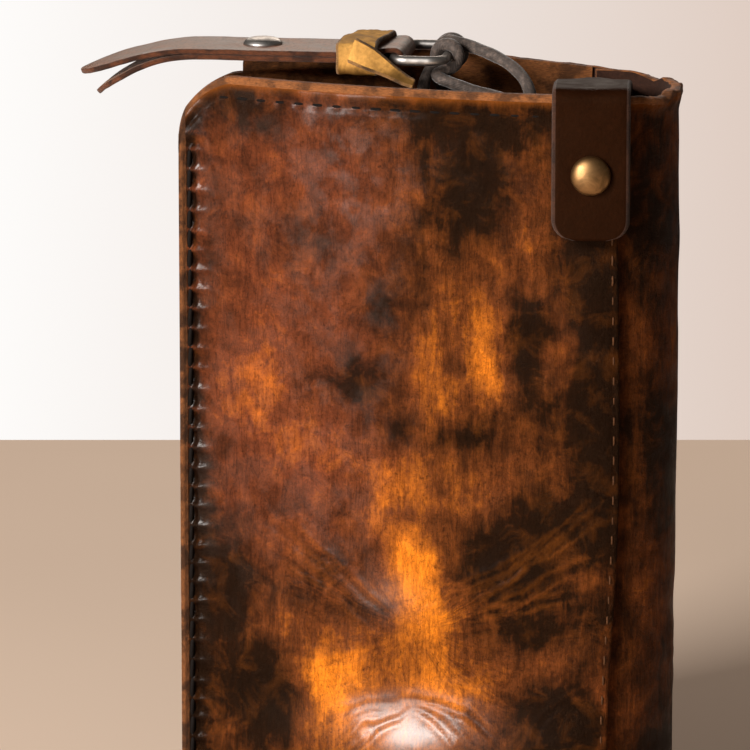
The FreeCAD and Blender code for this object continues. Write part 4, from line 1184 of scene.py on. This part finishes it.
def stitch_tree():
    """Geometry Nodes tree that lays one stitch on each point, along the point's own direction."""
    tree = bpy.data.node_groups.new("Stitch Row", "GeometryNodeTree")
    for label, kind in (("Geometry", "Geometry"), ("Stitch Length", "Float"), ("Thread Thickness", "Float"),
                        ("Stitch Rise", "Float"), ("Seed", "Int"), ("Thread", "Material")):
        tree.interface.new_socket(label, in_out="INPUT", socket_type="NodeSocket" + kind)
    tree.interface.new_socket("Geometry", in_out="OUTPUT", socket_type="NodeSocketGeometry")
    n = Nodes(tree)
    given = n.node("NodeGroupInput").outputs

    def times(value, factor):
        return n.node("ShaderNodeMath", {0: value, 1: factor}, operation="MULTIPLY").outputs[0]

    def place(**sides):
        return n.node("ShaderNodeCombineXYZ", sides).outputs[0]

    length, thickness = given["Stitch Length"], given["Thread Thickness"]
    sunk = times(thickness, -0.7)
    arch = n.node("GeometryNodeCurveQuadraticBezier", {
        "Resolution": 6, "Start": place(X=times(length, -0.5), Z=sunk),
        "Middle": place(Z=given["Stitch Rise"]), "End": place(X=times(length, 0.5), Z=sunk)})
    circle = n.node("GeometryNodeCurvePrimitiveCircle", {"Resolution": 8, "Radius": times(thickness, 0.5)})
    stitch = n.node("GeometryNodeCurveToMesh", {
        "Curve": arch.outputs[0], "Profile Curve": circle.outputs[0], "Fill Caps": True})
    turn = {}
    for label, axis, pivot in (("along", "X", "AUTO"), ("out", "Z", "X")):
        way = n.node("GeometryNodeInputNamedAttribute", {"Name": label}, data_type="FLOAT_VECTOR")
        turn["Vector"] = way.outputs["Attribute"]
        align = n.node("FunctionNodeAlignRotationToVector", turn, axis=axis, pivot_axis=pivot)
        turn["Rotation"] = align.outputs[0]
    size = n.node("FunctionNodeRandomValue", {2: 0.88, 3: 1.1, "Seed": given["Seed"]}, data_type="FLOAT")
    lay = n.node("GeometryNodeInstanceOnPoints", {
        "Points": given["Geometry"], "Instance": stitch.outputs[0], "Rotation": turn["Rotation"],
        "Scale": size.outputs[1]})
    real = n.node("GeometryNodeRealizeInstances", {0: lay.outputs[0]})
    smooth = n.node("GeometryNodeSetShadeSmooth", {0: real.outputs[0]})
    dyed = {"Geometry": smooth.outputs[0], "Material": given["Thread"]}
    n.node("NodeGroupOutput", {0: n.node("GeometryNodeSetMaterial", dyed).outputs[0]})
    return tree


def sew(name, row, size, thread, node):
    """Stitches on a row, which is places, directions and outward directions, as one plain mesh."""
    places, along, out = row
    points = bpy.data.meshes.new(name + ".places")
    points.from_pydata([tuple(p) for p in places], [], [])
    for label, vectors in (("along", along), ("out", out)):
        attribute = points.attributes.new(label, "FLOAT_VECTOR", "POINT")
        attribute.data.foreach_set("vector", np.asarray(vectors, np.float32).ravel())
    holder = add_object(name + ".row", points)
    tree = bpy.data.node_groups.get("Stitch Row") or stitch_tree()
    modifier = holder.modifiers.new("Stitches", "NODES")
    modifier.node_group = tree
    length, thickness, rise = (mm * MM for mm in size)
    given = {"Stitch Length": length, "Thread Thickness": thickness, "Stitch Rise": rise, "Seed": 5,
             "Thread": FINISH[thread]}
    for item in tree.interface.items_tree:
        if item.item_type == "SOCKET" and item.in_out == "INPUT" and item.name in given:
            modifier[item.identifier] = given[item.name]
    made = taken_as_mesh(holder)
    if not made.polygons:
        raise RuntimeError(name + " has no stitches")
    if not made.materials:
        made.materials.append(FINISH[thread])
    place_piece(add_object(name, made), "case", thread, node)


# Length, thickness of thread and rise of each kind of stitch, in millimetres
LACING_STITCH = (4.4, 1.15, 0.4)
LAP_STITCH = (2.6, 0.5, 0.55)
RIM_STITCH = (3.2, 0.7, 0.4)
COLLAR_STITCH = (3.3, 0.8, 0.6)
BASE_STITCH = (3.3, 0.8, 0.7)
# How far a lap's row lies before the lap's edge, round the end
LAP_ROW_TURN = math.radians(3.5)
# How far the lacing's middle lies from the middle of the case, deep in its channel
LACING_Y = 1.62 * MM


def on_long_wall(x, z):
    """Place on the long wall at x, with its level direction and outward direction."""
    half, cx = plan_at(z)
    big, _ = wall_arc(half, cx)
    turn = np.arcsin(np.clip((x - cx) / big, -1, 0))
    place = xyz(x, big - half - big * np.cos(turn), z)
    return place, level_along(turn), level_out(turn)


def level_row(x0, x1, height, side, lift=0.0):
    """A row of stitches along the front wall, where side is 1, or the back wall, where it is -1."""
    x = np.arange(x0, x1, PITCH) + 1.55 * MM
    place, along, out = on_long_wall(x, np.full(x.shape, height))
    flip = np.array((1, side, 1))
    return (place + out * lift) * flip, along * flip, out * flip


def upright_row(side, snap_gap=0.0):
    """A row of stitches up the lap of the front or back wall, with a gap behind the snap."""
    z = np.arange(LAP_ROW_LOW, RIM - 6 * MM, PITCH) + LAP_STITCH_MIDDLE
    z = z[np.abs(z - SNAP_Z) > snap_gap]
    half, cx = plan_at(z)
    out = level_out(LAP_ANGLE - LAP_ROW_TURN + 0 * z) * np.array((1, side, 1))
    place = xyz(cx, 0, z) + out * half[:, None]
    return place, np.broadcast_to((0.0, 0.0, 1.0), place.shape), out


def seam_row(side):
    """A row of stitches in the laced seam's channel."""
    z = np.arange(LACING_LOW, RIM - CORNER - PITCH, PITCH) + PITCH / 2
    place = xyz(X_SEAM + THREAD_LINE, side * LACING_Y, z)
    up = np.broadcast_to((0.05, 0.0, 1.0), place.shape)
    return place, up, np.broadcast_to((0.0, side, 0.0), place.shape)


def base_end_row():
    """A row of stitches low on the wall round the end."""
    half, cx = plan_at(np.array(BASE_LINE))
    turn = np.arange(LAP_ANGLE + math.radians(6), math.pi - LAP_ANGLE - math.radians(10), PITCH / half)
    turn = turn + 0.3 * PITCH / half
    out = level_out(turn)
    place = xyz(cx, 0, BASE_LINE) + out * (half - LEATHER)
    return place, level_along(turn), out


def joined(*rows):
    return [np.concatenate(part) for part in zip(*rows)]


class CASE_OT_stitches(bpy.types.Operator):
    """Lace the seam and sew the rims, the laps and the base"""

    bl_idname = "case.stitches"
    bl_label = "Stitching"

    def execute(self, context):
        start, end = X_SEAM + 10 * MM, CX - 12 * MM
        sew("lacing", joined(seam_row(-1.0), seam_row(1.0)), LACING_STITCH, "thread", "seam_lacing")
        sew("front_lap_stitches", upright_row(1, 7 * MM), LAP_STITCH, "light_thread", "front_seam_stitches")
        sew("back_lap_stitches", upright_row(-1), LAP_STITCH, "light_thread", "back_seam_stitches")
        front = level_row(start, end, RIM - HEM_LINE, 1, -0.15 * MM)
        sew("front_rim_thread", front, RIM_STITCH, "thread", "front_rim_stitches")
        back = level_row(X_SEAM + CORNER + 3 * MM, end, RIM - 1.0 * MM, -1)
        sew("back_rim_thread", back, COLLAR_STITCH, "thread", "back_rim_stitches")
        walls = [level_row(start, CX - 4 * MM, BASE_LINE, side) for side in (1, -1)]
        sew("base_thread", joined(*walls, base_end_row()), BASE_STITCH, "thread", "base_stitches")
        return {"FINISHED"}


# ---------------------------------------------------------------- closing tab

def in_case(x, y, z):
    """From the tab's own frame, on the round end's axis, to the case's."""
    return (CX + x * math.cos(TAB_ANGLE) - y * math.sin(TAB_ANGLE),
            x * math.sin(TAB_ANGLE) + y * math.cos(TAB_ANGLE), z)


def tab_axis(side):
    """Direction in the case of the tab's own Y axis, or against it where side is -1."""
    return Vector(in_case(0, side, 0)) - Vector(in_case(0, 0, 0))


def straight_on(path, end, steps):
    """Adds places in a straight line from the last one of the path."""
    start = path[-1]
    path += [(start[0] + (end[0] - start[0]) * t, start[1] + (end[1] - start[1]) * t)
             for t in np.linspace(0, 1, steps + 1)[1:]]


def tab_path():
    """Middle line of the tab in Y and Z: up the front, over the mouth and down inside the back wall."""
    bend_y = -(FLAP_Y + TAB / 2 - BEND_R)
    middle = BEND_R - TAB / 2
    hinge = TAB_TOP - BEND_R
    top = TAB_TOP - TAB / 2
    low = RIM - TAB_DROP
    path = [(-FLAP_Y - 0.10 * MM * math.sin(math.pi * t), low + t * (hinge - low))
            for t in np.linspace(0, 1, 46)]
    path += [(bend_y - middle * math.cos(a), hinge + middle * math.sin(a))
             for a in np.linspace(0, math.pi / 2, 14)[1:]]
    sagged = top - TAB_SAG
    for place in ((-12 * MM, top - 0.3 * MM), (4 * MM, top - 0.6 * TAB_SAG),
                  (LEG_R - 1.6 * MM, sagged + 0.25 * MM), (LEG_R - 0.2 * MM, sagged - 1.2 * MM)):
        straight_on(path, place, max(3, int(math.dist(path[-1], place) / (1.1 * MM))))
    path += [(LEG_R, z) for z in np.linspace(sagged - 2.4 * MM, RIM + TAB_RISE - TAB_SAG - LEG_LENGTH, 26)]
    path = np.array(path)
    for _ in range(3):
        path[60:-26] = (path[59:-27] + 2 * path[60:-26] + path[61:-25]) / 4
    return xyz(0, path[:, 0], path[:, 1])


def tab_leather():
    """The tab as one strip, with rounded lower corners, a dish under the snap and a leg bowed to the wall."""
    centres = tab_path()
    lengths = lengths_along(centres)
    rounding = 5 * MM
    near = np.clip(rounding - lengths, 0, None)
    widths = TAB_WIDTH - 2 * (rounding - np.sqrt(np.maximum(rounding ** 2 - near ** 2, 0)))

    def relief(length, a, outside):
        y = np.interp(length, lengths, centres[:, 1])
        bowl = float(step(y, 2 * MM, LEG_R - 1 * MM)) * (math.sqrt(LEG_R ** 2 - a ** 2) - LEG_R)
        flap = 1 - float(step(length, 30 * MM, 38 * MM))
        lean = 0.35 * MM * flap * (a / TAB_WIDTH * 2) ** 2
        dish = -0.35 * MM * math.exp(-((length - 16 * MM) ** 2 + a * a) / (7 * MM) ** 2)
        lump = 0.12 * MM * float(lattice_noise(np.array((a, length, 0.0)), 7 * MM, 15))
        return bowl + dish - lean + lump

    finishes = (FINISH["tab"], FINISH["tab_edge"], FINISH["inside"])
    piece = strip("closing_tab", centres, (-1, 0, 0), widths, TAB, finishes, relief, 22)
    for vertex in piece.data.vertices:
        vertex.co = in_case(*vertex.co)
    return piece


def snap_dome():
    face = FLAP_Y + TAB / 2
    radius, skirt, rise = 4.85 * MM, 0.35 * MM, 2.6 * MM
    profile = [(0, face - 1.0 * MM), (4.6 * MM, face - 0.4 * MM), (radius, face + 0.1 * MM)]
    profile += [(radius * math.cos(t), face + skirt + rise * math.sin(t))
                for t in np.linspace(0.0, math.pi / 2, 26)[:-1]]
    profile.append((0, face + skirt + rise))
    return turned("snap_dome", profile, in_case(0, 0, SNAP_Z), tab_axis(-1), FINISH["brass"])


def tab_rivets():
    """Both rivets of the leg, from their burrs inside to their heads behind the back wall."""
    shank, burr, head = 1.25 * MM, 2.4 * MM, 3.0 * MM
    inner = LEG_R - TAB / 2 - 0.35 * MM
    outer = float(plan_at(np.array(RIVET_ZS[0]))[0]) + 0.65 * MM
    profile = rounded([(0, inner - 0.8 * MM), (burr, inner - 0.8 * MM), (burr, inner), (shank, inner),
                       (shank, outer), (head, outer), (head, outer + 0.4 * MM),
                       (2.2 * MM, outer + 1.0 * MM), (0, outer + 1.2 * MM)])
    return [turned("tab_rivet_%d" % i, profile, in_case(0, 0, z), tab_axis(1), FINISH["brass"], 48)
            for i, z in enumerate(RIVET_ZS)]


class CASE_OT_tab(bpy.types.Operator):
    """Make the closing tab with its snap and rivets"""

    bl_idname = "case.closing_tab"
    bl_label = "Closing Tab"

    def execute(self, context):
        piece = tab_leather()
        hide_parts("tab_strap", "tab_flap")
        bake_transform(piece)
        place_piece(snap_dome(), "tab", "brass", "snap_cap")
        first, second = tab_rivets()
        place_piece(first, "case", "brass", "tab_rivets")
        place_piece(second, "case", "brass")
        return {"FINISHED"}


# ---------------------------------------------------------------- strap, loop, thong and laces

def strap_path(side, reach, drop):
    """Middle line of one ply from the fold round the loop's bar to its free tip, in X and Z."""
    radius = WIRE / 2 + 0.1 * MM + PLY / 2
    path = [(X_BAR + radius * math.cos(a), STRAP_MIDDLE + side * radius * math.sin(a))
            for a in np.linspace(0, math.radians(98), 18)]
    flat = STRAP_MIDDLE + side * (PLY / 2 + 0.02 * MM)
    x0, z0 = path[-1]
    x1 = X_BAR - 10 * MM
    path += [(x0 + (x1 - x0) * t, z0 + (flat - z0) * step(t, 0, 1)) for t in np.linspace(0, 1, 14)[1:]]
    path += [(x, flat) for x in np.linspace(x1, X_FLEX, 42)[1:]]
    bow = (reach ** 2 + drop ** 2) / (2 * drop)
    path += [(X_FLEX - d, flat - (bow - math.sqrt(bow ** 2 - d ** 2))) for d in np.linspace(0, reach, 36)[1:]]
    return np.array([(x, 0, z) for x, z in path])


def strap_ply(name, side, reach, drop, point, seed):
    """One ply of the strap. point is the length over which it narrows to its rounded tip."""
    centres = strap_path(side, reach, drop)
    lengths = lengths_along(centres)
    half = STRAP_WIDTH / 2
    tip = ((0, 0.22), (0.12, 0.45), (0.35, 0.74), (0.7, 0.93), (1, 1))
    widths = 2 * np.interp(lengths[-1] - lengths, [t * point for t, _ in tip], [half * w for _, w in tip])

    def relief(length, a, outside):
        free = float(step(length, 54 * MM, 76 * MM))
        place = np.array((length, a, seed * 0.1))
        wave = 0.35 * MM * float(cloud(place, 15 * MM, seed, 2)) * free
        small = 0.10 * MM * float(cloud(place, 4 * MM, seed + 4, 2))
        return wave + small - side * 0.5 * MM * free * (a / half) ** 2

    finishes = (FINISH["strap"], FINISH["strap_edge"], FINISH["strap_flesh"])
    return strip(name, centres, (0, -side, 0), widths, PLY, finishes, relief, 20)


def strap_rivet_dome():
    z = STRAP_TOP
    profile = [(0, z - 0.6 * MM), (4.75 * MM, z - 0.3 * MM), (4.85 * MM, z + 0.35 * MM),
               (4.55 * MM, z + 0.75 * MM)]
    profile += [(4.4 * MM * math.cos(t), z + 0.8 * MM + 1.1 * MM * math.sin(t))
                for t in np.linspace(0.15, math.pi / 2, 16)[:-1]]
    profile.append((0, z + 1.9 * MM))
    return turned("strap_rivet_dome", profile, (X_RIVET, 0, 0), (0, 0, 1), FINISH["plated"])


class CASE_OT_strap(bpy.types.Operator):
    """Make the strap end that holds the metal loop, with its rivet"""

    bl_idname = "case.ring_strap"
    bl_label = "Ring Strap"

    def execute(self, context):
        upper = strap_ply("strap_upper_ply", 1, 30 * MM, 7 * MM, 9 * MM, 61)
        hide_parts("ring_strap", "strap_upper_end")
        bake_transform(upper)
        lower = strap_ply("strap_lower_ply", -1, 26 * MM, 10.5 * MM, 12 * MM, 67)
        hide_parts("strap_lower_end")
        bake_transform(lower)
        place_piece(strap_rivet_dome(), "case", "plated", "strap_rivet_cap")
        return {"FINISHED"}


def thong_relief(length, a, outside):
    place = np.array((length * 0.6, a * 1.6, 0.02))
    return 0.55 * MM * float(cloud(place, 4.5 * MM, 85, 3)) * (1.0 if outside else 0.3)


def thong_band(finishes):
    """The thong's closed turn round the strap."""
    front, back, tall = -15.7 * MM, 12.3 * MM, 3.2 * MM
    corner = 2.9 * MM
    path = []
    for cy, cz, first in ((back - corner, tall - corner, 0), (front + corner, tall - corner, 90),
                          (front + corner, -tall + corner, 180), (back - corner, -tall + corner, 270)):
        for turn in np.radians(np.linspace(first, first + 90, 8)):
            path.append(np.array((cy + corner * math.cos(turn), cz + corner * math.sin(turn))))
    dense = []
    for here, there in zip(path, path[1:] + path[:1]):
        steps = max(1, int(math.dist(here, there) / (0.9 * MM)))
        dense += [here + (there - here) * i / steps for i in range(steps)]
    y, z = np.array(dense).T
    crown = 0.45 * MM * hill(y, -4 * MM, 9 * MM) * (z > 0)
    centres = xyz(X_THONG + 0.8 * MM * np.sin(y / (6 * MM)), y, STRAP_MIDDLE + z + crown)
    widths = THONG_WIDTH * (0.98 + 0.10 * cloud(centres, 7 * MM, 83, 2))
    return strip("thong_band", centres, (1, 0, 0), widths, THONG, finishes, thong_relief, 18, True)


def thong_tail(finishes):
    """The thong's loose end, which hangs in front of the strap and narrows to a point."""
    x1 = X_THONG + THONG_WIDTH / 2
    route = smooth_route([
        (X_THONG - 1.5 * MM, -15.4 * MM, STRAP_MIDDLE + 2.6 * MM),
        (X_THONG + 1 * MM, -16.8 * MM, STRAP_MIDDLE + 1.8 * MM),
        (x1 - 0.5 * MM, -16.6 * MM, STRAP_MIDDLE - 0.2 * MM), (x1 + 3.5 * MM, -16.2 * MM, RIM + 3.6 * MM),
        (x1 + 6.6 * MM, -16.4 * MM, RIM + 1.8 * MM), (x1 + 8.6 * MM, -16.8 * MM, RIM + 1.1 * MM)], 12)
    way = unit(np.gradient(route, axis=0))
    across = unit(xyz(-way[:, 2], 0.35, way[:, 0]))
    share = np.linspace(0, 1, len(route))
    widths = np.interp(share, (0, 0.25, 0.6, 1), (6.5 * MM, 6 * MM, 3.8 * MM, 2.4 * MM))
    return strip("thong_tail", route, across, widths, THONG, finishes, thong_relief, 14)


class CASE_OT_thong(bpy.types.Operator):
    """Wrap the tan thong round the strap and let its end hang in front"""

    bl_idname = "case.thong"
    bl_label = "Thong"

    def execute(self, context):
        finishes = (FINISH["thong"], FINISH["thong_edge"], FINISH["thong"])
        place_piece(thong_band(finishes), "case", "thong_leather", "tan_thong")
        place_piece(thong_tail(finishes), "case", "thong_leather")
        return {"FINISHED"}


def coil(y_start, pitch, first, last):
    """Points of turns round the loop's far bar, every 45 degrees, from one angle down to another."""
    reach = ((WIRE + LACE) / 2 + 0.2 * MM) / math.cos(math.radians(22.5))
    points = []
    for i in range(int((first - last) / 45) + 1):
        turn = math.radians(first - 45 * i)
        points.append((X_FAR_BAR + reach * math.cos(turn), y_start - pitch * 45 * i / 360,
                       STRAP_MIDDLE + reach * math.sin(turn)))
    return points


def lace_points(rows):
    """Route points given in millimetres from the loop's far bar and the rim."""
    return [(X_FAR_BAR + x * MM, y * MM, RIM + z * MM) for x, y, z in rows]


class CASE_OT_laces(bpy.types.Operator):
    """Wind both dark laces round the loop and lead them into the case"""

    bl_idname = "case.laces"
    bl_label = "Laces"

    def execute(self, context):
        rear = lace_points(((-3, 14.6, -6), (-4, 11.5, -3), (-5, 8.0, 1)))
        rear += coil(5.6 * MM, 3.3 * MM, 202.5, -292.5)
        rear += lace_points(((10, -3.0, 7.2), (17, -7.5, 4.5), (21.5, -11.5, 0), (22.5, -13.5, -6)))
        front = lace_points(((-5.5, -5.2, -6), (-6.5, -4.6, -1)))
        front += coil(-3.4 * MM, 3.3 * MM, 202.5, -67.5)
        front += lace_points(((-3.5, -8.2, 2.2), (4, -9.5, -0.5), (12, -10.0, -2.5), (20, -8.5, -4.5),
                              (27, -5.0, -6.5), (31.5, 2.0, -9.5), (32.0, 9.0, -13.5), (31.8, 14.4, -17.3)))
        for name, points, node, seed in (("rear_lace", rear, "lace_rear", 3),
                                         ("front_lace", front, "lace_front", 9)):
            piece = tube(name, smooth_route(points, 8), LACE / 2, FINISH["lace"], seed)
            place_piece(piece, "case", "lace", node)
        return {"FINISHED"}


# ---------------------------------------------------------------- the rest of the frame

class CASE_OT_fittings(bpy.types.Operator):
    """Finish the linings, the base, the screw and the small metal parts of the frame"""

    bl_idname = "case.fittings"
    bl_label = "Linings and Fittings"

    def execute(self, context):
        finishes = {
            "raw": ("front_rim_facing", "back_rim_facing"),
            "interlining": ("front_interlining", "back_interlining"),
            "lining": ("front_lining", "back_lining"),
            "base": ("base_pan",), "board": ("base_board",), "felt": ("base_felt",),
            "steel": ("socket_plate", "plate_nails", "retaining_ring"),
            "brass": ("retaining_screw", "snap_socket", "snap_stud", "snap_post"),
            "plated": ("strap_ring", "strap_rivet_burr"),
        }
        for finish, nodes in finishes.items():
            for node in nodes:
                dress(node, finish)
        return {"FINISHED"}


# ---------------------------------------------------------------- stage

def slab(name, focus, azimuth, reach, beyond, material):
    """A level floor, square to the first view, that ends a little way beyond the case."""
    side = Vector((math.cos(azimuth), math.sin(azimuth), 0))
    away = Vector((-math.sin(azimuth), math.cos(azimuth), 0))
    middle = Vector((focus.x, focus.y, -0.05 * MM))
    corners = [middle + side * a + away * b for a, b in
               ((-reach, -reach), (reach, -reach), (reach, beyond), (-reach, beyond))]
    return keep_piece(name, corners, [(0, 1, 2, 3)], (material,))


def aimed(holder, place, direction):
    """Puts a lamp or camera at a place, looking along a direction."""
    holder.location = place
    holder.rotation_euler = Vector(direction).to_track_quat("-Z", "Y").to_euler()
    return holder


def soft_light(name, place, aim, size, power, colour):
    lamp = bpy.data.lights.new(name, "AREA")
    lamp.shape = "RECTANGLE"
    lamp.size, lamp.size_y = size
    lamp.energy = power
    lamp.color = colour
    aimed(add_object(name, lamp), place, Vector(aim) - Vector(place))


def studio_world():
    """A pale backdrop, darker to the right, that the camera sees, and a faint warm light on the case."""
    world = bpy.data.worlds.new("Studio")
    world.use_nodes = True
    n = Nodes(world.node_tree)
    direction = n.node("ShaderNodeTexCoord").outputs["Generated"]
    level = n.node("ShaderNodeSeparateXYZ", {0: direction}).outputs[0]
    shift = n.node("ShaderNodeMapRange", {"Value": level, "From Min": -0.20, "From Max": -0.06}).outputs[0]
    tones = {0: shift, 6: (1.0, 0.985, 0.97, 1), 7: (0.70, 0.55, 0.47, 1)}
    wall = n.node("ShaderNodeMix", tones, data_type="RGBA")
    seen = n.node("ShaderNodeBackground", {"Color": wall.outputs[2]})
    lit = n.node("ShaderNodeBackground", {"Color": (1.0, 0.88, 0.78, 1), "Strength": 0.07})
    path = n.node("ShaderNodeLightPath").outputs
    rays = {0: path["Is Camera Ray"], 1: path["Is Transmission Ray"]}
    either = n.node("ShaderNodeMath", rays, operation="MAXIMUM")
    mixed = n.node("ShaderNodeMixShader", {0: either.outputs[0], 1: lit.outputs[0], 2: seen.outputs[0]})
    n.node("ShaderNodeOutputWorld", {"Surface": mixed.outputs[0]})
    return world


class CASE_OT_stage(bpy.types.Operator):
    """Set the floor, the light and the camera"""

    bl_idname = "case.stage"
    bl_label = "Stage"

    def execute(self, context):
        scene = context.scene
        ground = Finish("Floor", 0.8)
        paint = ((0.3, (0.72, 0.56, 0.44)), (0.7, (0.78, 0.61, 0.48)))
        ground.set(Base_Color=ground.ramp(ground.noise(0.3, 2), paint))
        azimuth, elevation, distance = math.radians(8), math.radians(11.7), 1.6
        focus = Vector((-0.0361, 0, 0.107))
        floor = slab("floor", focus, azimuth, 0.9, 0.416, ground.material)
        floor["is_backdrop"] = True
        scene.world = studio_world()
        cream = (1.0, 0.95, 0.90)
        soft_light("Window", (-0.85, -1.15, 0.80), (-0.02, 0, 0.10), (0.5, 0.5), 32, cream)
        soft_light("Low Fill", (-0.72, -1.25, 0.12), (-0.02, 0, 0.03), (0.60, 0.14), 10, cream)
        soft_light("Back Light", (-0.1, 1.2, 0.75), (-0.03, 0, 0.18), (1.0, 0.35), 5, (1.0, 0.86, 0.74))
        away = Vector((math.sin(azimuth) * math.cos(elevation), -math.cos(azimuth) * math.cos(elevation),
                       math.sin(elevation)))
        camera = bpy.data.cameras.new("Camera")
        camera.lens = 308.8
        camera.sensor_width = 36
        camera.clip_start = 0.05
        scene.camera = aimed(add_object("Camera", camera), focus + away * distance, -away)
        scene.view_settings.view_transform = "Standard"
        return {"FINISHED"}


class CASE_PT_panel(bpy.types.Panel):
    """Settings and steps of the case"""

    bl_idname = "CASE_PT_panel"
    bl_label = "Leather Ever-Ready Case"
    bl_space_type = "VIEW_3D"
    bl_region_type = "UI"
    bl_category = "Case"

    def draw(self, context):
        for group in (context.scene.case_sizes, context.scene.case_colours):
            box = self.layout.box()
            for name in group.__annotations__:
                box.prop(group, name)
        for step_class in STEPS:
            self.layout.operator(step_class.bl_idname)


STEPS = (CASE_OT_finishes, CASE_OT_front, CASE_OT_back, CASE_OT_side, CASE_OT_stitches, CASE_OT_tab,
         CASE_OT_strap, CASE_OT_thong, CASE_OT_laces, CASE_OT_fittings, CASE_OT_stage)
CLASSES = (CaseColours, CaseSizes, *STEPS, CASE_PT_panel)


def register():
    for each in CLASSES:
        bpy.utils.register_class(each)
    bpy.types.Scene.case_colours = PointerProperty(type=CaseColours)
    bpy.types.Scene.case_sizes = PointerProperty(type=CaseSizes)


def unregister():
    del bpy.types.Scene.case_sizes
    del bpy.types.Scene.case_colours
    for each in reversed(CLASSES):
        bpy.utils.unregister_class(each)


def main():
    register()
    for each in STEPS:
        group, name = each.bl_idname.split(".")
        getattr(getattr(bpy.ops, group), name)()
    boxes = {"cad": CAD_BOX, "visual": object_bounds()}
    plain = {key: [[float(v) for v in corner] for corner in value] for key, value in boxes.items()}


if __name__ == "__main__":
    main()
